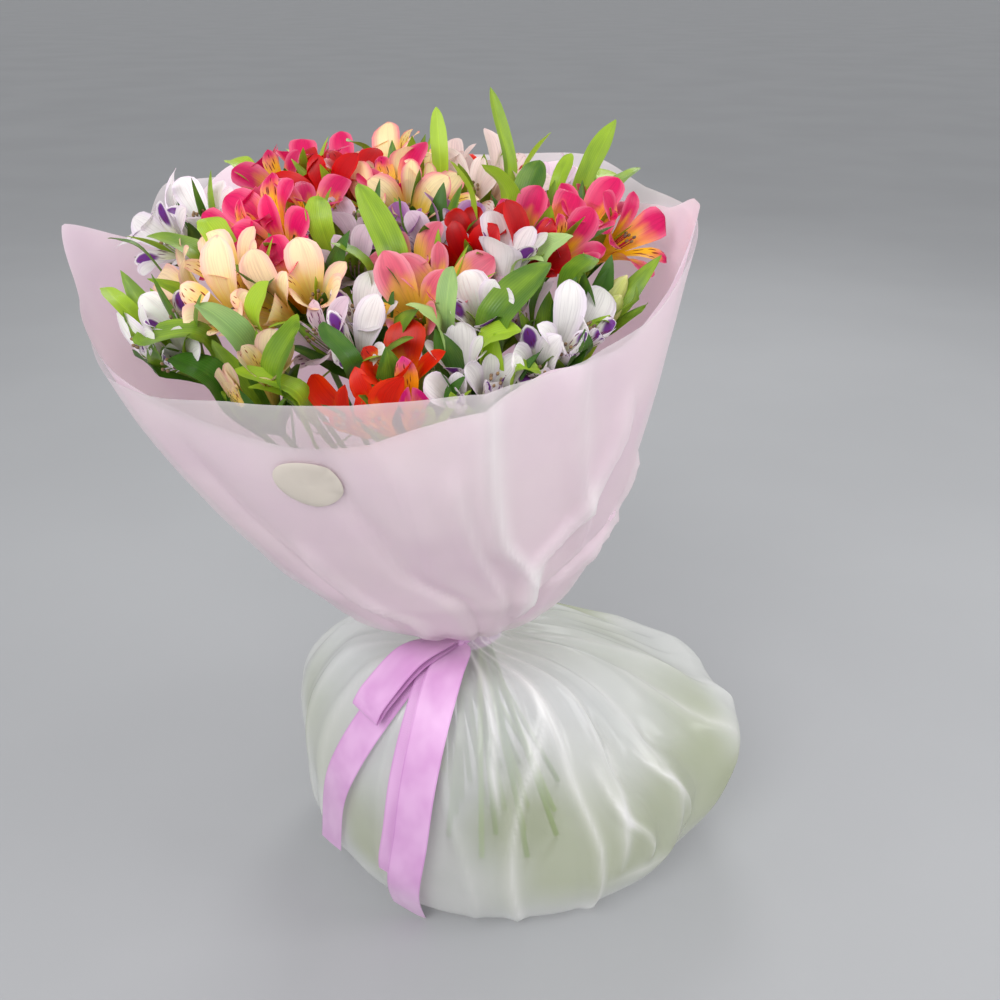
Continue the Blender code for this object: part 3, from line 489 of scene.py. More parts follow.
class Recipe:
    def __init__(self, name):
        self.finish = bpy.data.materials.new(name)
        self.finish.use_nodes = True
        self.nodes = self.finish.node_tree.nodes
        self.link = self.finish.node_tree.links.new
        self.shader = self.nodes["Principled BSDF"]
        self.output = self.nodes["Material Output"]

    def node(self, kind, inputs=None, **settings):
        made = self.nodes.new(kind)
        for key, value in settings.items():
            setattr(made, key, value)
        for key, value in (inputs or {}).items():
            if isinstance(value, bpy.types.NodeSocket):
                self.link(value, made.inputs[key])
            else:
                made.inputs[key].default_value = value
        return made

    def sum(self, operation, a, b=0.0):
        return self.node("ShaderNodeMath", {0: a, 1: b}, operation=operation).outputs[0]

    def between(self, value, low, high, start=0.0, end=1.0):
        """Maps a value from one range to another, eased and clamped."""
        inputs = {"Value": value, "From Min": low, "From Max": high, "To Min": start, "To Max": end}
        return self.node("ShaderNodeMapRange", inputs, interpolation_type="SMOOTHSTEP").outputs[0]

    def mix(self, share, first, second, blend="MIX"):
        made = self.nodes.new("ShaderNodeMix")
        made.data_type = "RGBA"
        made.blend_type = blend
        for socket, value in ((made.inputs[0], share), (made.inputs[6], first), (made.inputs[7], second)):
            if isinstance(value, bpy.types.NodeSocket):
                self.link(value, socket)
            else:
                socket.default_value = value
        return made.outputs[2]

    def place(self):
        """Across and along a patch, each from 0 to 1."""
        parts = self.node("ShaderNodeSeparateXYZ", {0: self.nodes.new("ShaderNodeUVMap").outputs[0]})
        return parts.outputs[0], parts.outputs[1]

    def tone(self):
        return self.node("ShaderNodeAttribute", attribute_name="tone").outputs["Fac"]

    def grain(self, x, y, tone, detail=2.0):
        """Noise stretched over the patch."""
        where = self.node("ShaderNodeCombineXYZ", {0: x, 1: y, 2: tone}).outputs[0]
        return self.node("ShaderNodeTexNoise", {"Vector": where, "Scale": 1.0, "Detail": detail}).outputs[0]

    def bump(self, height, strength, distance):
        inputs = {"Height": height, "Strength": strength, "Distance": distance}
        self.link(self.node("ShaderNodeBump", inputs).outputs[0], self.shader.inputs["Normal"])

    def glow(self, colour, share):
        """Lets light through a thin surface, as a petal or a film does."""
        through = self.node("ShaderNodeBsdfTranslucent", {"Color": colour})
        return self.node("ShaderNodeMixShader", {0: share, 1: self.shader.outputs[0], 2: through.outputs[0]})


# %% [markdown]
# ### Petals
# An alstroemeria has three broad outer petals and three narrow inner ones. The inner ones are
# streaked and yellow at the throat, and in white varieties they carry a purple blotch. One
# recipe serves every variety: it reads how far along and across the petal a point is, and
# blends throat, body, edge and tip, then lays fine veins and dark dashes over them.

# %% Petal recipe
def petal_finish(name, body, edge, throat, tip, inner, throat_end=0.45, dashes=None, blotch=None):
    recipe = Recipe(name)
    if inner:
        throat_end += 0.2
    across, along = recipe.place()
    tone = recipe.tone()
    off = recipe.sum("ABSOLUTE", recipe.sum("SUBTRACT", across, 0.5))
    veins = recipe.grain(recipe.sum("MULTIPLY", across, 26.0), recipe.sum("MULTIPLY", along, 2.2),
                         recipe.sum("MULTIPLY", tone, 40.0))
    patches = recipe.grain(recipe.sum("MULTIPLY", across, 3.0), recipe.sum("MULTIPLY", along, 3.0),
                           recipe.sum("MULTIPLY", tone, 90.0))
    wander = recipe.sum("MULTIPLY", recipe.sum("SUBTRACT", patches, 0.5), 0.35)
    place = recipe.sum("ADD", along, wander)
    colour = recipe.mix(recipe.between(off, 0.18, 0.5), tint(*body), tint(*edge))
    colour = recipe.mix(recipe.between(place, throat_end + 0.12, throat_end - 0.18), colour, tint(*throat))
    colour = recipe.mix(recipe.between(place, 0.9, 1.02), colour, tint(*tip))
    dark = recipe.mix(1.0, colour, (0.72, 0.7, 0.72, 1), "MULTIPLY")
    colour = recipe.mix(recipe.between(veins, 0.42, 0.72, 0.0, 0.55), colour, dark)
    if inner and blotch:
        spot = recipe.sum("ADD", recipe.sum("POWER", recipe.sum("MULTIPLY", off, 2.6), 2.0),
                          recipe.sum("POWER", recipe.sum("MULTIPLY", recipe.sum("SUBTRACT", along, 0.66), 4.2), 2.0))
        colour = recipe.mix(recipe.between(spot, 1.0, 0.35), colour, tint(*blotch))
    if inner and dashes:
        where = recipe.node("ShaderNodeCombineXYZ", {0: recipe.sum("MULTIPLY", across, 9.0),
                                                     1: recipe.sum("MULTIPLY", along, 5.5), 2: tone}).outputs[0]
        spots = recipe.node("ShaderNodeTexVoronoi", {"Vector": where, "Scale": 1.0}).outputs["Distance"]
        band = recipe.sum("MULTIPLY", recipe.between(along, 0.28, 0.4), recipe.between(along, 0.9, 0.78))
        marks = recipe.sum("MULTIPLY", recipe.between(spots, 0.34, 0.22), band)
        colour = recipe.mix(marks, colour, tint(*dashes))
    light = recipe.sum("ADD", recipe.sum("MULTIPLY", tone, 0.30), 0.92)
    colour = recipe.node("ShaderNodeHueSaturation", {"Value": light, "Saturation": 1.05, "Color": colour}).outputs[0]
    recipe.link(colour, recipe.shader.inputs["Base Color"])
    recipe.shader.inputs["Roughness"].default_value = 0.42
    recipe.shader.inputs["Specular IOR Level"].default_value = 0.35
    recipe.bump(veins, 0.25, 0.0004)
    recipe.link(recipe.glow(colour, 0.38).outputs[0], recipe.output.inputs[0])
    return recipe.finish


# %% The varieties: body, edge, throat, tip, then throat end, dashes and blotch
PETALS = {
    "white": dict(body=(243, 238, 238), edge=(236, 224, 236), throat=(224, 222, 190), tip=(214, 200, 214),
                  throat_end=0.25, dashes=(110, 50, 90), blotch=(112, 60, 138)),
    "pink": dict(body=(212, 58, 106), edge=(232, 112, 144), throat=(252, 196, 70), tip=(198, 64, 96),
                 throat_end=0.44, dashes=(120, 20, 30)),
    "magenta": dict(body=(214, 60, 130), edge=(230, 110, 150), throat=(250, 160, 50), tip=(200, 60, 110),
                    throat_end=0.5, dashes=(120, 20, 30)),
    "red": dict(body=(186, 22, 28), edge=(206, 40, 40), throat=(214, 110, 60), tip=(150, 24, 30),
                throat_end=0.34, dashes=(90, 10, 16)),
    "cream": dict(body=(246, 226, 178), edge=(236, 146, 154), throat=(246, 212, 96), tip=(226, 120, 136),
                  throat_end=0.45, dashes=(140, 60, 50)),
    "blush": dict(body=(238, 214, 212), edge=(240, 222, 220), throat=(226, 190, 160), tip=(232, 204, 206),
                  throat_end=0.32, dashes=(170, 70, 60)),
    "lilac": dict(body=(224, 196, 214), edge=(230, 208, 222), throat=(222, 208, 190), tip=(206, 160, 190),
                  throat_end=0.25, dashes=(120, 50, 100)),
    "purple": dict(body=(168, 108, 172), edge=(204, 164, 206), throat=(234, 220, 224), tip=(140, 80, 154),
                   throat_end=0.42, dashes=(90, 30, 90)),
    "orchid": dict(body=(226, 112, 132), edge=(236, 152, 166), throat=(250, 196, 92), tip=(214, 96, 120),
                   throat_end=0.5, dashes=(150, 50, 50)),
    "peach": dict(body=(248, 222, 184), edge=(244, 196, 184), throat=(248, 216, 120), tip=(234, 176, 160),
                  throat_end=0.45, dashes=(150, 70, 50)),
    "scarlet": dict(body=(212, 44, 30), edge=(222, 66, 44), throat=(252, 172, 48), tip=(186, 34, 32),
                    throat_end=0.4, dashes=(110, 20, 16)),
    "green": dict(body=(206, 210, 128), edge=(214, 214, 150), throat=(150, 170, 80), tip=(236, 226, 170),
                  throat_end=0.3),
}
petal_finishes = {}
for variety, colours in PETALS.items():
    outer = petal_finish("petal_" + variety, inner=False, **colours)
    inner = petal_finish("streaked_petal_" + variety, inner=True, **colours)
    petal_finishes[variety] = (outer, inner)
print("petal finishes", 2 * len(petal_finishes))


# %% [markdown]
# ### Leaves and stalks
# Alstroemeria leaves have parallel veins from base to tip and a glossy upper side. Some are fresh
# lime green and others dark, so the tone of each leaf chooses between them. The back is paler
# and matt, and gets a finish of its own.

# %% Leaf recipes
def leaf_finish(name, dark, bright, roughness):
    recipe = Recipe(name)
    across, along = recipe.place()
    tone = recipe.tone()
    lines = recipe.sum("MULTIPLY", across, 88.0)
    ribs = recipe.between(recipe.sum("SINE", lines), -0.6, 1.0)
    cloud = recipe.grain(recipe.sum("MULTIPLY", across, 2.0), recipe.sum("MULTIPLY", along, 4.0),
                         recipe.sum("MULTIPLY", tone, 70.0))
    share = recipe.sum("ADD", tone, recipe.sum("MULTIPLY", recipe.sum("SUBTRACT", cloud, 0.5), 0.7))
    colour = recipe.mix(recipe.between(share, 0.1, 0.95), tint(*dark), tint(*bright))
    pale = recipe.mix(1.0, colour, (1.5, 1.45, 1.3, 1), "MULTIPLY")
    colour = recipe.mix(recipe.sum("MULTIPLY", ribs, 0.30), colour, pale)
    middle = recipe.sum("ABSOLUTE", recipe.sum("SUBTRACT", across, 0.5))
    colour = recipe.mix(recipe.between(middle, 0.035, 0.0, 0.0, 0.5), colour, pale)
    recipe.link(colour, recipe.shader.inputs["Base Color"])
    recipe.shader.inputs["Roughness"].default_value = roughness
    recipe.bump(ribs, 0.3, 0.0003)
    recipe.link(recipe.glow(colour, 0.32).outputs[0], recipe.output.inputs[0])
    return recipe.finish


leaf_front = leaf_finish("leaf_green", (62, 102, 34), (158, 192, 52), 0.38)
leaf_back = leaf_finish("leaf_underside", (128, 164, 104), (172, 202, 122), 0.6)
stalk_green = leaf_finish("stalk_green", (96, 136, 62), (142, 176, 84), 0.45)


def plain_finish(name, colour, other, scale, roughness):
    recipe = Recipe(name)
    where = recipe.nodes.new("ShaderNodeTexCoord").outputs["Object"]
    noise = recipe.node("ShaderNodeTexNoise", {"Vector": where, "Scale": scale, "Detail": 3.0}).outputs[0]
    recipe.link(recipe.mix(recipe.between(noise, 0.3, 0.7), tint(*colour), tint(*other)),
                recipe.shader.inputs["Base Color"])
    recipe.shader.inputs["Roughness"].default_value = roughness
    recipe.bump(noise, 0.2, 0.0004)
    return recipe.finish


anther = plain_finish("anther", (150, 120, 80), (110, 90, 84), 300, 0.8)
floor_mesh.materials.append(plain_finish("pale_floor", (150, 151, 153), (154, 155, 157), 2.0, 0.8))

# %% [markdown]
# ## Florets
# The path of a petal is a curve in the plane of the floret's axis: it leaves the ovary close to
# the axis, rises as a tube and then rolls outwards. The width swells towards two thirds of the
# length and closes in a small point. The edges cup inwards low down and ripple at the mouth.

# %% Petal grid
ALONG = (0, 0.1, 0.2, 0.32, 0.44, 0.56, 0.67, 0.77, 0.86, 0.93, 0.975, 1.0)
OUTER_WIDTH = ((0, 0.1, 0.25, 0.45, 0.62, 0.74, 0.86, 0.94, 0.98, 1.0),
               (0.2, 0.24, 0.38, 0.68, 0.95, 1.0, 0.84, 0.54, 0.26, 0.05))
INNER_WIDTH = ((0, 0.1, 0.3, 0.5, 0.7, 0.83, 0.93, 1.0), (0.26, 0.28, 0.4, 0.7, 1.0, 0.92, 0.55, 0.05))


def petal_grid(base, axis, bearing, opening, outer, walls, draw, size):
    side, up = cross_frame(axis)
    out = side * math.cos(bearing) + up * math.sin(bearing)
    across = axis.cross(out)
    length = (45 if outer else 42) * MM * draw.uniform(0.94, 1.06) * size
    mouth = (3 + (25 if outer else 18) * opening) * MM * size
    widest = (9.3 if outer else 5.6) * MM * draw.uniform(0.88, 1.08) * size
    limb = room(base + axis * length * 0.78, out, across, 3 * MM + mouth * 0.72, widest, walls, -6.0 * MM)
    top = base + axis * length * (1 - 0.2 * opening)
    tip = room(top, out, across, 3 * MM + mouth * 1.15, 0.6 * MM, walls, -7.0 * MM)
    low, mid = Vector((2.0 * MM, 0)), Vector((2.4 * MM + 2.2 * MM * opening, length * 0.40))
    high, end = Vector((limb * 0.84, length * 0.84)), Vector((tip, length * (1 - 0.2 * opening)))
    widths = OUTER_WIDTH if outer else INNER_WIDTH
    ripple = draw.uniform(0, 6)
    sweep = draw.uniform(-0.06, 0.06)
    grid = []
    for t in ALONG:
        s = 1 - t
        spot = low * s**3 + mid * 3 * s * s * t + high * 3 * s * t * t + end * t**3
        slope = (mid - low) * s * s + (high - mid) * 2 * s * t + (end - high) * t * t
        slope.normalize()
        centre = base + out * spot.x + axis * spot.y + across * sweep * length * t * t
        inward = axis * slope.x - out * slope.y
        half = widest * float(np.interp(t, *widths))
        half = min(half, 1.4 * MM + spot.x * 0.95)
        row = []
        for c in (-1, -0.72, -0.38, 0, 0.38, 0.72, 1):
            cup = (0.6 - 0.66 * t) * half * c * c
            wave = 0.10 * half * t * abs(c) * math.sin(9 * t + ripple + 2.5 * c)
            keel = -0.05 * half * (1 - abs(c))
            row.append(Vector(inside_wrapping(centre + across * half * c + inward * (cup + wave + keel))))
        grid.append(row)
    return grid


# %% One floret with its ovary and stamens
def add_floret(work, root, base, axis, opening, turn, walls, draw, size=1.0, slots=(0, 1)):
    tone = draw.random()
    side, up = cross_frame(axis)
    path = bent([root - axis * 1.5 * MM, root.lerp(base, 0.55) + side * 0.8 * MM, base - axis * 1 * MM,
                 base + axis * 3 * MM], 8)
    work.patch(tube(path, [1.1 * MM, 1.1 * MM, 1.2 * MM, 1.3 * MM, 1.9 * MM, 2.8 * MM, 3.0 * MM, 2.0 * MM]), 2, tone)
    for k in range(6):
        bearing = turn + math.radians(60 * k + 30)
        outer = k % 2 == 0
        towards_front = -(side * math.cos(bearing) + up * math.sin(bearing)).y
        spread = opening * draw.uniform(0.86, 1.1) * (1 + 0.4 * max(0.0, towards_front))
        petal = petal_grid(base, axis, bearing, spread, outer, walls, draw, size)
        work.patch(petal, slots[0 if outer or k == 5 else 1], min(1, max(0, tone + draw.uniform(-0.25, 0.25))))
    if opening < 0.5:
        return
    lean = draw.uniform(0, 2 * math.pi)
    for k in range(6):
        angle = turn + math.radians(60 * k)
        out = side * math.cos(angle) + up * math.sin(angle)
        bend = side * math.cos(lean) + up * math.sin(lean)
        tip = base + axis * (27 + 3 * draw.random()) * MM + out * 3 * MM + bend * 3 * MM
        path = bent([base + out * 1.2 * MM, base + axis * 15 * MM + out * 2.2 * MM, tip], 5)
        work.patch(tube(path, [0.35 * MM] * 5, 4), slots[0], tone)
        head = [tip + axis * h * MM for h in (-1.4, -0.9, 0, 0.9, 1.4)]
        work.patch(tube(head, [0.1 * MM, 0.75 * MM, 0.95 * MM, 0.7 * MM, 0.1 * MM], 6), 3, tone)


def add_bud(work, root, base, axis, length, draw):
    tone = draw.random()
    path = bent([root - axis * 1.5 * MM, root.lerp(base, 0.6), base], 6)
    work.patch(tube(path, [1.1 * MM, 1.1 * MM, 1.2 * MM, 1.4 * MM, 2.2 * MM, 2.8 * MM]), 2, tone)
    side, up = cross_frame(axis)
    for k in range(3):
        start = math.radians(120 * k)
        grid = []
        for t in (0, 0.12, 0.28, 0.45, 0.62, 0.78, 0.9, 1.0):
            radius = 6.2 * MM * float(np.interp(t, (0, 0.2, 0.5, 0.75, 0.93, 1), (0.42, 0.75, 1, 0.8, 0.36, 0.05)))
            row = []
            for c in range(7):
                angle = start + math.radians(120) * c / 6
                ridge = 1 + 0.10 * math.sin(math.pi * c / 6)
                row.append(base + axis * length * t + (side * math.cos(angle) + up * math.sin(angle)) * radius * ridge)
            grid.append(row)
        work.patch(grid, 0, tone)


# %% All umbels
GUESTS = {"r": ("magenta", (1,)), "g": ("lilac", (1,)), "d": ("pink", (4,)), "o": ("pink", (0,)),
          "q": ("lilac", (1,)), "f": ("purple", (2,)), "m": ("lilac", (3,))}
FLORET_SIZE = {"b": 1.08, "l": 1.12, "g": 0.8, "q": 0.86, "s": 0.84, "f": 0.9, "p": 0.86, "t": 0.9}
for name, variety, _, count, _, opening in STEMS:
    draw = random.Random(name)
    detail = random.Random("detail " + name)
    work = Patchwork()
    guest, places_of_guest = GUESTS.get(name, (variety, ()))
    for order, i in enumerate([i for i, owner in enumerate(owners) if owner == name]):
        root = umbel_base(name)
        mouth = dome_point(places[i])
        base = root.lerp(mouth, 0.34)
        axis = (mouth - base).normalized()
        spread = Vector((mouth.x - root.x, mouth.y - root.y, 0)) * 9.0
        axis = (axis + spread * (0.5 + 0.5 * opening) + Vector((0, -0.26, 0)) * opening).normalized()
        walls = cell_walls((f"floret{i}", "floret"), cells[i][1])
        if opening < 0.2:
            add_bud(work, root, base, axis, draw.uniform(24, 32) * MM, detail)
        else:
            wide = opening * draw.uniform(0.85, 1.1)
            size = FLORET_SIZE.get(name, 1.0) * detail.uniform(0.94, 1.12)
            slots = (4, 5) if order in places_of_guest else (0, 1)
            add_floret(work, root, base, axis, wide, draw.uniform(0, math.pi), walls, detail, size, slots)
    finishes = [*petal_finishes[variety], stalk_green, anther]
    if guest != variety:
        finishes += petal_finishes[guest]
    umbel = work.make("florets_" + name, finishes)
    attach(umbel, "root")
    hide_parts("umbel_" + name)
print("umbels", len(STEMS))


# %% [markdown]
# ## Leafy stems
# Each stalk runs straight from its foot, through the tie, to its umbel: that is what makes the
# spiral. A leaf leaves the stalk as a narrow strip, rises between the florets and leans over at
# its shoulder.

# %% Stalk and leaf paths
def rotated(plan, angle):
    return Vector((plan.x * math.cos(angle) - plan.y * math.sin(angle),
                   plan.x * math.sin(angle) + plan.y * math.cos(angle)))


def stalk_line(name):
    plan = next(Vector(stem[2]) * MM for stem in STEMS if stem[0] == name)
    from_centre = plan - SPIRAL_CENTRE
    at_tie = rotated(from_centre, TIE_TURN) * TIE_SCALE
    at_foot = rotated(from_centre, FOOT_TURN) * FOOT_SCALE
    top = umbel_base(name)
    top -= (top - TIE_CENTRE).normalized() * 3.4 * MM
    tie = Vector((TIE_CENTRE.x + at_tie.x, TIE_CENTRE.y + at_tie.y, TIE_CENTRE.z))
    return Vector((at_foot.x, at_foot.y, FOOT_CLEARANCE)), tie, top


def leaf_grid(i, place, draw):
    """Rows of a leaf from its stalk to its tip."""
    name, shoulder, tip, width = LEAVES[i]
    _, tie, top = stalk_line(name)
    start = top + (tie - top).normalized() * (16 + 6 * place) * MM
    over = dome_point((shoulder[0] * MM, shoulder[1] * MM), shoulder[2] * MM)
    end = dome_point((tip[0] * MM, tip[1] * MM), tip[2] * MM)
    rise = (over - TIE_CENTRE).normalized()
    heading = Vector((end.x - over.x, end.y - over.y, 0)).normalized()
    across = heading.cross(Vector((0, 0, 1)))
    low = over - rise * 55 * MM
    first = Vector((low.x - start.x, low.y - start.y, 0)).cross(Vector((0, 0, 1))).normalized()
    first = -first if first.dot(across) < 0 else first
    ways = [cell[1] for cell in cells if cell[0] == f"leaf{i}"]
    walls = [cell_walls((f"leaf{i}", "leaf"), way) for way in ways]
    late = over.lerp(end, 0.6) + rise * 2 * MM
    turned = (first + across).normalized()
    middles, sides, halves = [start], [first], [0.9 * MM]
    stations = ((low, 0.1, 0, turned), (over - rise * 24 * MM, 0.62, 0, across),
                (over, 1.0, 0, across), (late, 0.92, 1, across))
    for middle, wide, cell, beside in stations:
        middle = keep_inside([middle], walls[cell], 3 * MM)[0]
        spare = walls[cell] @ np.array(middle - TIE_CENTRE) + 14.0 * MM
        reach = float(np.min(spare / (np.abs(walls[cell] @ np.array(beside)) + 1e-9)))
        half = max(1.4 * MM, min(width * wide * MM * 0.6, reach))
        middles.append(middle)
        sides.append(beside)
        halves.append(1.2 * MM if len(halves) == 1 else half)
    middles.append(keep_inside([end], walls[1], CELL_MARGIN)[0])
    sides.append(across)
    halves.append(0.15 * MM)
    last = len(middles) - 1
    rows = 26
    ripple, twist = draw.uniform(0, 6), draw.uniform(-0.25, 0.25)
    grid = []
    for k in range(rows):
        at = last * (k / (rows - 1)) ** 0.92
        middle = Vector(smooth_rows([tuple(m) for m in middles], at))
        after = Vector(smooth_rows([tuple(m) for m in middles], min(at + 0.05, last)))
        before = Vector(smooth_rows([tuple(m) for m in middles], max(at - 0.05, 0)))
        along = (after - before).normalized()
        beside = Vector(smooth_rows([tuple(s) for s in sides], at)).normalized()
        beside = (beside - along * beside.dot(along)).normalized()
        normal = beside.cross(along)
        turn = twist * at / last
        beside, normal = (beside * math.cos(turn) + normal * math.sin(turn),
                          normal * math.cos(turn) - beside * math.sin(turn))
        half = float(smooth_rows([(h,) for h in halves], min(at, last - 1.0))[0])
        t = k / (rows - 1)
        end_share = max(0.0, at - (last - 1.3)) / 1.3
        half = max(0.15 * MM, half * (1 - end_share**1.8))
        row = []
        for c in np.linspace(-1, 1, 9):
            fold = 0.22 * half * abs(c)
            wave = 0.06 * half * math.sin(16 * t + ripple + 2 * c) * abs(c) * min(1, 4 * t)
            row.append(middle + beside * half * c + normal * (fold + wave))
        grid.append(row)
    return grid


# %% The whorl of small leaves under an umbel
def bract_grid(top, axis, bearing, draw, broad):
    side, up = cross_frame(axis)
    out = side * math.cos(bearing) + up * math.sin(bearing)
    across = axis.cross(out)
    long, wide = draw.uniform(54, 76) * MM, draw.uniform(5.0, 8.0) * broad * MM
    lean, sweep = draw.uniform(0.3, 0.75), draw.uniform(-0.15, 0.15)
    first = top - axis * 2 * MM + out * 1.5 * MM
    turn = first + axis * long * 0.62 + out * long * 0.22 * lean
    end = first + axis * long * (1.02 - 0.3 * lean) + out * long * 0.75 * lean + across * long * sweep
    grid = []
    for k in range(13):
        t = k / 12
        s = 1 - t
        middle = first * s * s + turn * 2 * s * t + end * t * t
        along = ((turn - first) * s + (end - turn) * t).normalized()
        normal = across.cross(along)
        half = wide * math.sin(math.pi * t**0.8) ** 0.8 * (0.25 + 0.75 * min(1, 2 * t)) + 0.2 * MM
        grid.append([Vector(inside_wrapping(middle + across * half * c + normal * 0.3 * half * abs(c)))
                     for c in (-1, -0.6, -0.2, 0.2, 0.6, 1)])
    return grid


# %% All leafy stems
for name, variety, _, _, _, _ in STEMS:
    detail = random.Random("leaf " + name)
    foot, tie, top = stalk_line(name)
    work = Patchwork()
    path = [foot.lerp(tie, k / 8) for k in range(8)] + [tie.lerp(top, k / 8) for k in range(9)]
    radii = [2.2 * MM - 0.5 * MM * k / 16 for k in range(17)]
    work.patch(tube(path, radii, 10), 2, detail.random())
    cap = [[foot + Vector((0, 0, 0.01 * MM))] * 11, tube(path, radii, 10)[0]]
    work.patch(cap, 2, 0.9)
    own = [i for i, leaf in enumerate(LEAVES) if leaf[0] == name]
    for place, i in enumerate(own):
        work.patch(leaf_grid(i, place, detail), 0 if detail.random() < 0.75 else 1, detail.random())
    start = detail.uniform(0, 6)
    for k in range(9):
        bract = bract_grid(top, (top - tie).normalized(), start + 2 * math.pi * k / 9, detail,
                           1.35 if top.y < -0.12 else 1.0)
        work.patch(bract, 0, detail.uniform(0.0, 0.8))
    stem = work.make("leafy_stalk_" + name, [leaf_front, leaf_back, stalk_green])
    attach(stem, "root")
    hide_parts("leafy_stem_" + name)
print("leafy stems", len(STEMS))


# %% [markdown]
# ## The films
# The inner sheet is lilac and the outer one is clear film with a frosted face. Both are gathered
# at the tie, so sharp folds start there and fade on the way up. Film lets light through twice:
# part of it straight, which shows the flowers behind, and the rest scattered, which makes it glow.
# Along the creases a painted highlight whitens the lit side of each fold, where the film also lies
# double and lets less through, and the skirt has the stalks behind it painted in as a green blur.

# %% Film recipe
# The last colour, if given, is painted see-through: what lies behind the film, seen blurred
def film_finish(name, colour, fold_colour, clear, glow, roughness, inside=None):
    recipe = Recipe(name)
    where = recipe.nodes.new("ShaderNodeTexCoord").outputs["Object"]
    cloud = recipe.node("ShaderNodeTexNoise", {"Vector": where, "Scale": 14.0, "Detail": 3.0}).outputs[0]
    fine = recipe.node("ShaderNodeTexNoise", {"Vector": where, "Scale": 900.0, "Detail": 2.0}).outputs[0]
    # The tone of a film point: a painted highlight on the lit side of each crease, and the film lying double there
    highlight_and_doubling = recipe.tone()
    mixed = recipe.mix(recipe.between(cloud, 0.3, 0.7), tint(*colour), tint(*fold_colour))
    # Painted see-through: a blurred green band at stalk height, standing for the stalks seen through the frosted film
    if inside:
        height = recipe.node("ShaderNodeSeparateXYZ", {0: where}).outputs[2]
        band = recipe.sum("MULTIPLY", recipe.between(height, 0.01, 0.06), recipe.between(height, 0.18, 0.11))
        painted_see_through_blur = recipe.node("ShaderNodeTexNoise", {"Vector": where, "Scale": 7.0, "Detail": 1.0}).outputs[0]
        mixed = recipe.mix(recipe.sum("MULTIPLY", band, recipe.between(painted_see_through_blur, 0.38, 0.62, 0.08, 0.8)), mixed, tint(*inside))
    # Painted highlight: creases go towards white; where the film lies double it also lets less through (below)
    mixed = recipe.mix(recipe.between(highlight_and_doubling, 0.0, 1.0), mixed, tint(255, 253, 252))
    recipe.link(mixed, recipe.shader.inputs["Base Color"])
    recipe.shader.inputs["Roughness"].default_value = roughness
    recipe.shader.inputs["Specular IOR Level"].default_value = 0.5
    recipe.bump(fine, 0.08, 0.0002)
    body = recipe.glow(mixed, glow)
    clear_film = recipe.node("ShaderNodeBsdfTransparent", {"Color": (1, 1, 1, 1)})
    open_share = recipe.between(highlight_and_doubling, 0.0, 1.0, clear, clear * 0.2)
    veil = recipe.node("ShaderNodeMixShader", {0: open_share, 1: body.outputs[0], 2: clear_film.outputs[0]})
    recipe.link(veil.outputs[0], recipe.output.inputs[0])
    return recipe.finish


lilac_film = film_finish("lilac_sheet", (253, 232, 243), (248, 222, 238), 0.05, 0.26, 0.42)
frosted_film = film_finish("frosted_film", (254, 244, 246), (250, 238, 243), 0.46, 0.3, 0.28)
# The skirt's last colour is a painted see-through green: the stalks seen blurred through its film
skirt_film = film_finish("skirt_film", (240, 240, 240), (228, 230, 230), 0.44, 0.4, 0.2, (168, 178, 122))


# %% Folds of the wrapping
def crease(bearing, line, width):
    """A sharp fold: 1 on its line, falling to 0 at its width."""
    away = abs((bearing - line + 180) % 360 - 180) / width
    return max(0.0, 1 - away) ** 1.6


@lru_cache(maxsize=None)
def along_line(line, at):
    """Bearing of a fold at a height or row, and how strong it still is there."""
    places = [point[0] for point in line]
    ends = 0.3 * (places[-1] - places[0])
    fade = max(0.0, min(1.0, (at - places[0] + ends) / ends, (places[-1] - at + ends) / ends))
    index = float(np.interp(at, places, range(len(line))))
    return float(smooth_rows(line, index)[1]), fade * fade * (3 - 2 * fade)


# Folds seen in the photo: height over the tie and bearing, then half width, depth and painted highlight, how white the
# lit side of the fold is painted
WRAP_LINES = (
    (((0.03, 286), (0.096, 282), (0.124, 271), (0.172, 267), (0.215, 263)), 6, -5.0, 0.1),
    (((0.10, 301), (0.124, 298), (0.156, 292), (0.228, 290), (0.256, 290)), 5, 5.5, 0.8),
    (((0.09, 292), (0.14, 287), (0.20, 284)), 4, 3.5, 0.4),
    (((0.08, 300), (0.128, 303), (0.144, 310), (0.16, 316), (0.21, 324)), 5, 5.5, 0.9),
    (((0.05, 300), (0.096, 310), (0.116, 330), (0.122, 342)), 8, -6.0, 0.0),
    (((0.10, 330), (0.116, 342), (0.15, 350)), 8, 5.0, 0.2),
    (((0.03, 262), (0.072, 262), (0.096, 250), (0.13, 246)), 7, 5.0, 0.3),
    (((0.06, 252), (0.12, 240), (0.20, 233)), 9, -3.5, 0.0),
    (((0.14, 318), (0.19, 312), (0.26, 308)), 6, 4.5, 0.5),
    (((0.17, 276), (0.22, 274), (0.26, 270)), 8, 2.5, 0.1),
)
gather = random.Random(7)
WRAP_FOLDS = [(gather.uniform(0, 360), gather.uniform(-16, 16), gather.uniform(0.05, 0.16),
               gather.uniform(-3.2, 3.2), gather.uniform(4, 9)) for _ in range(34)]


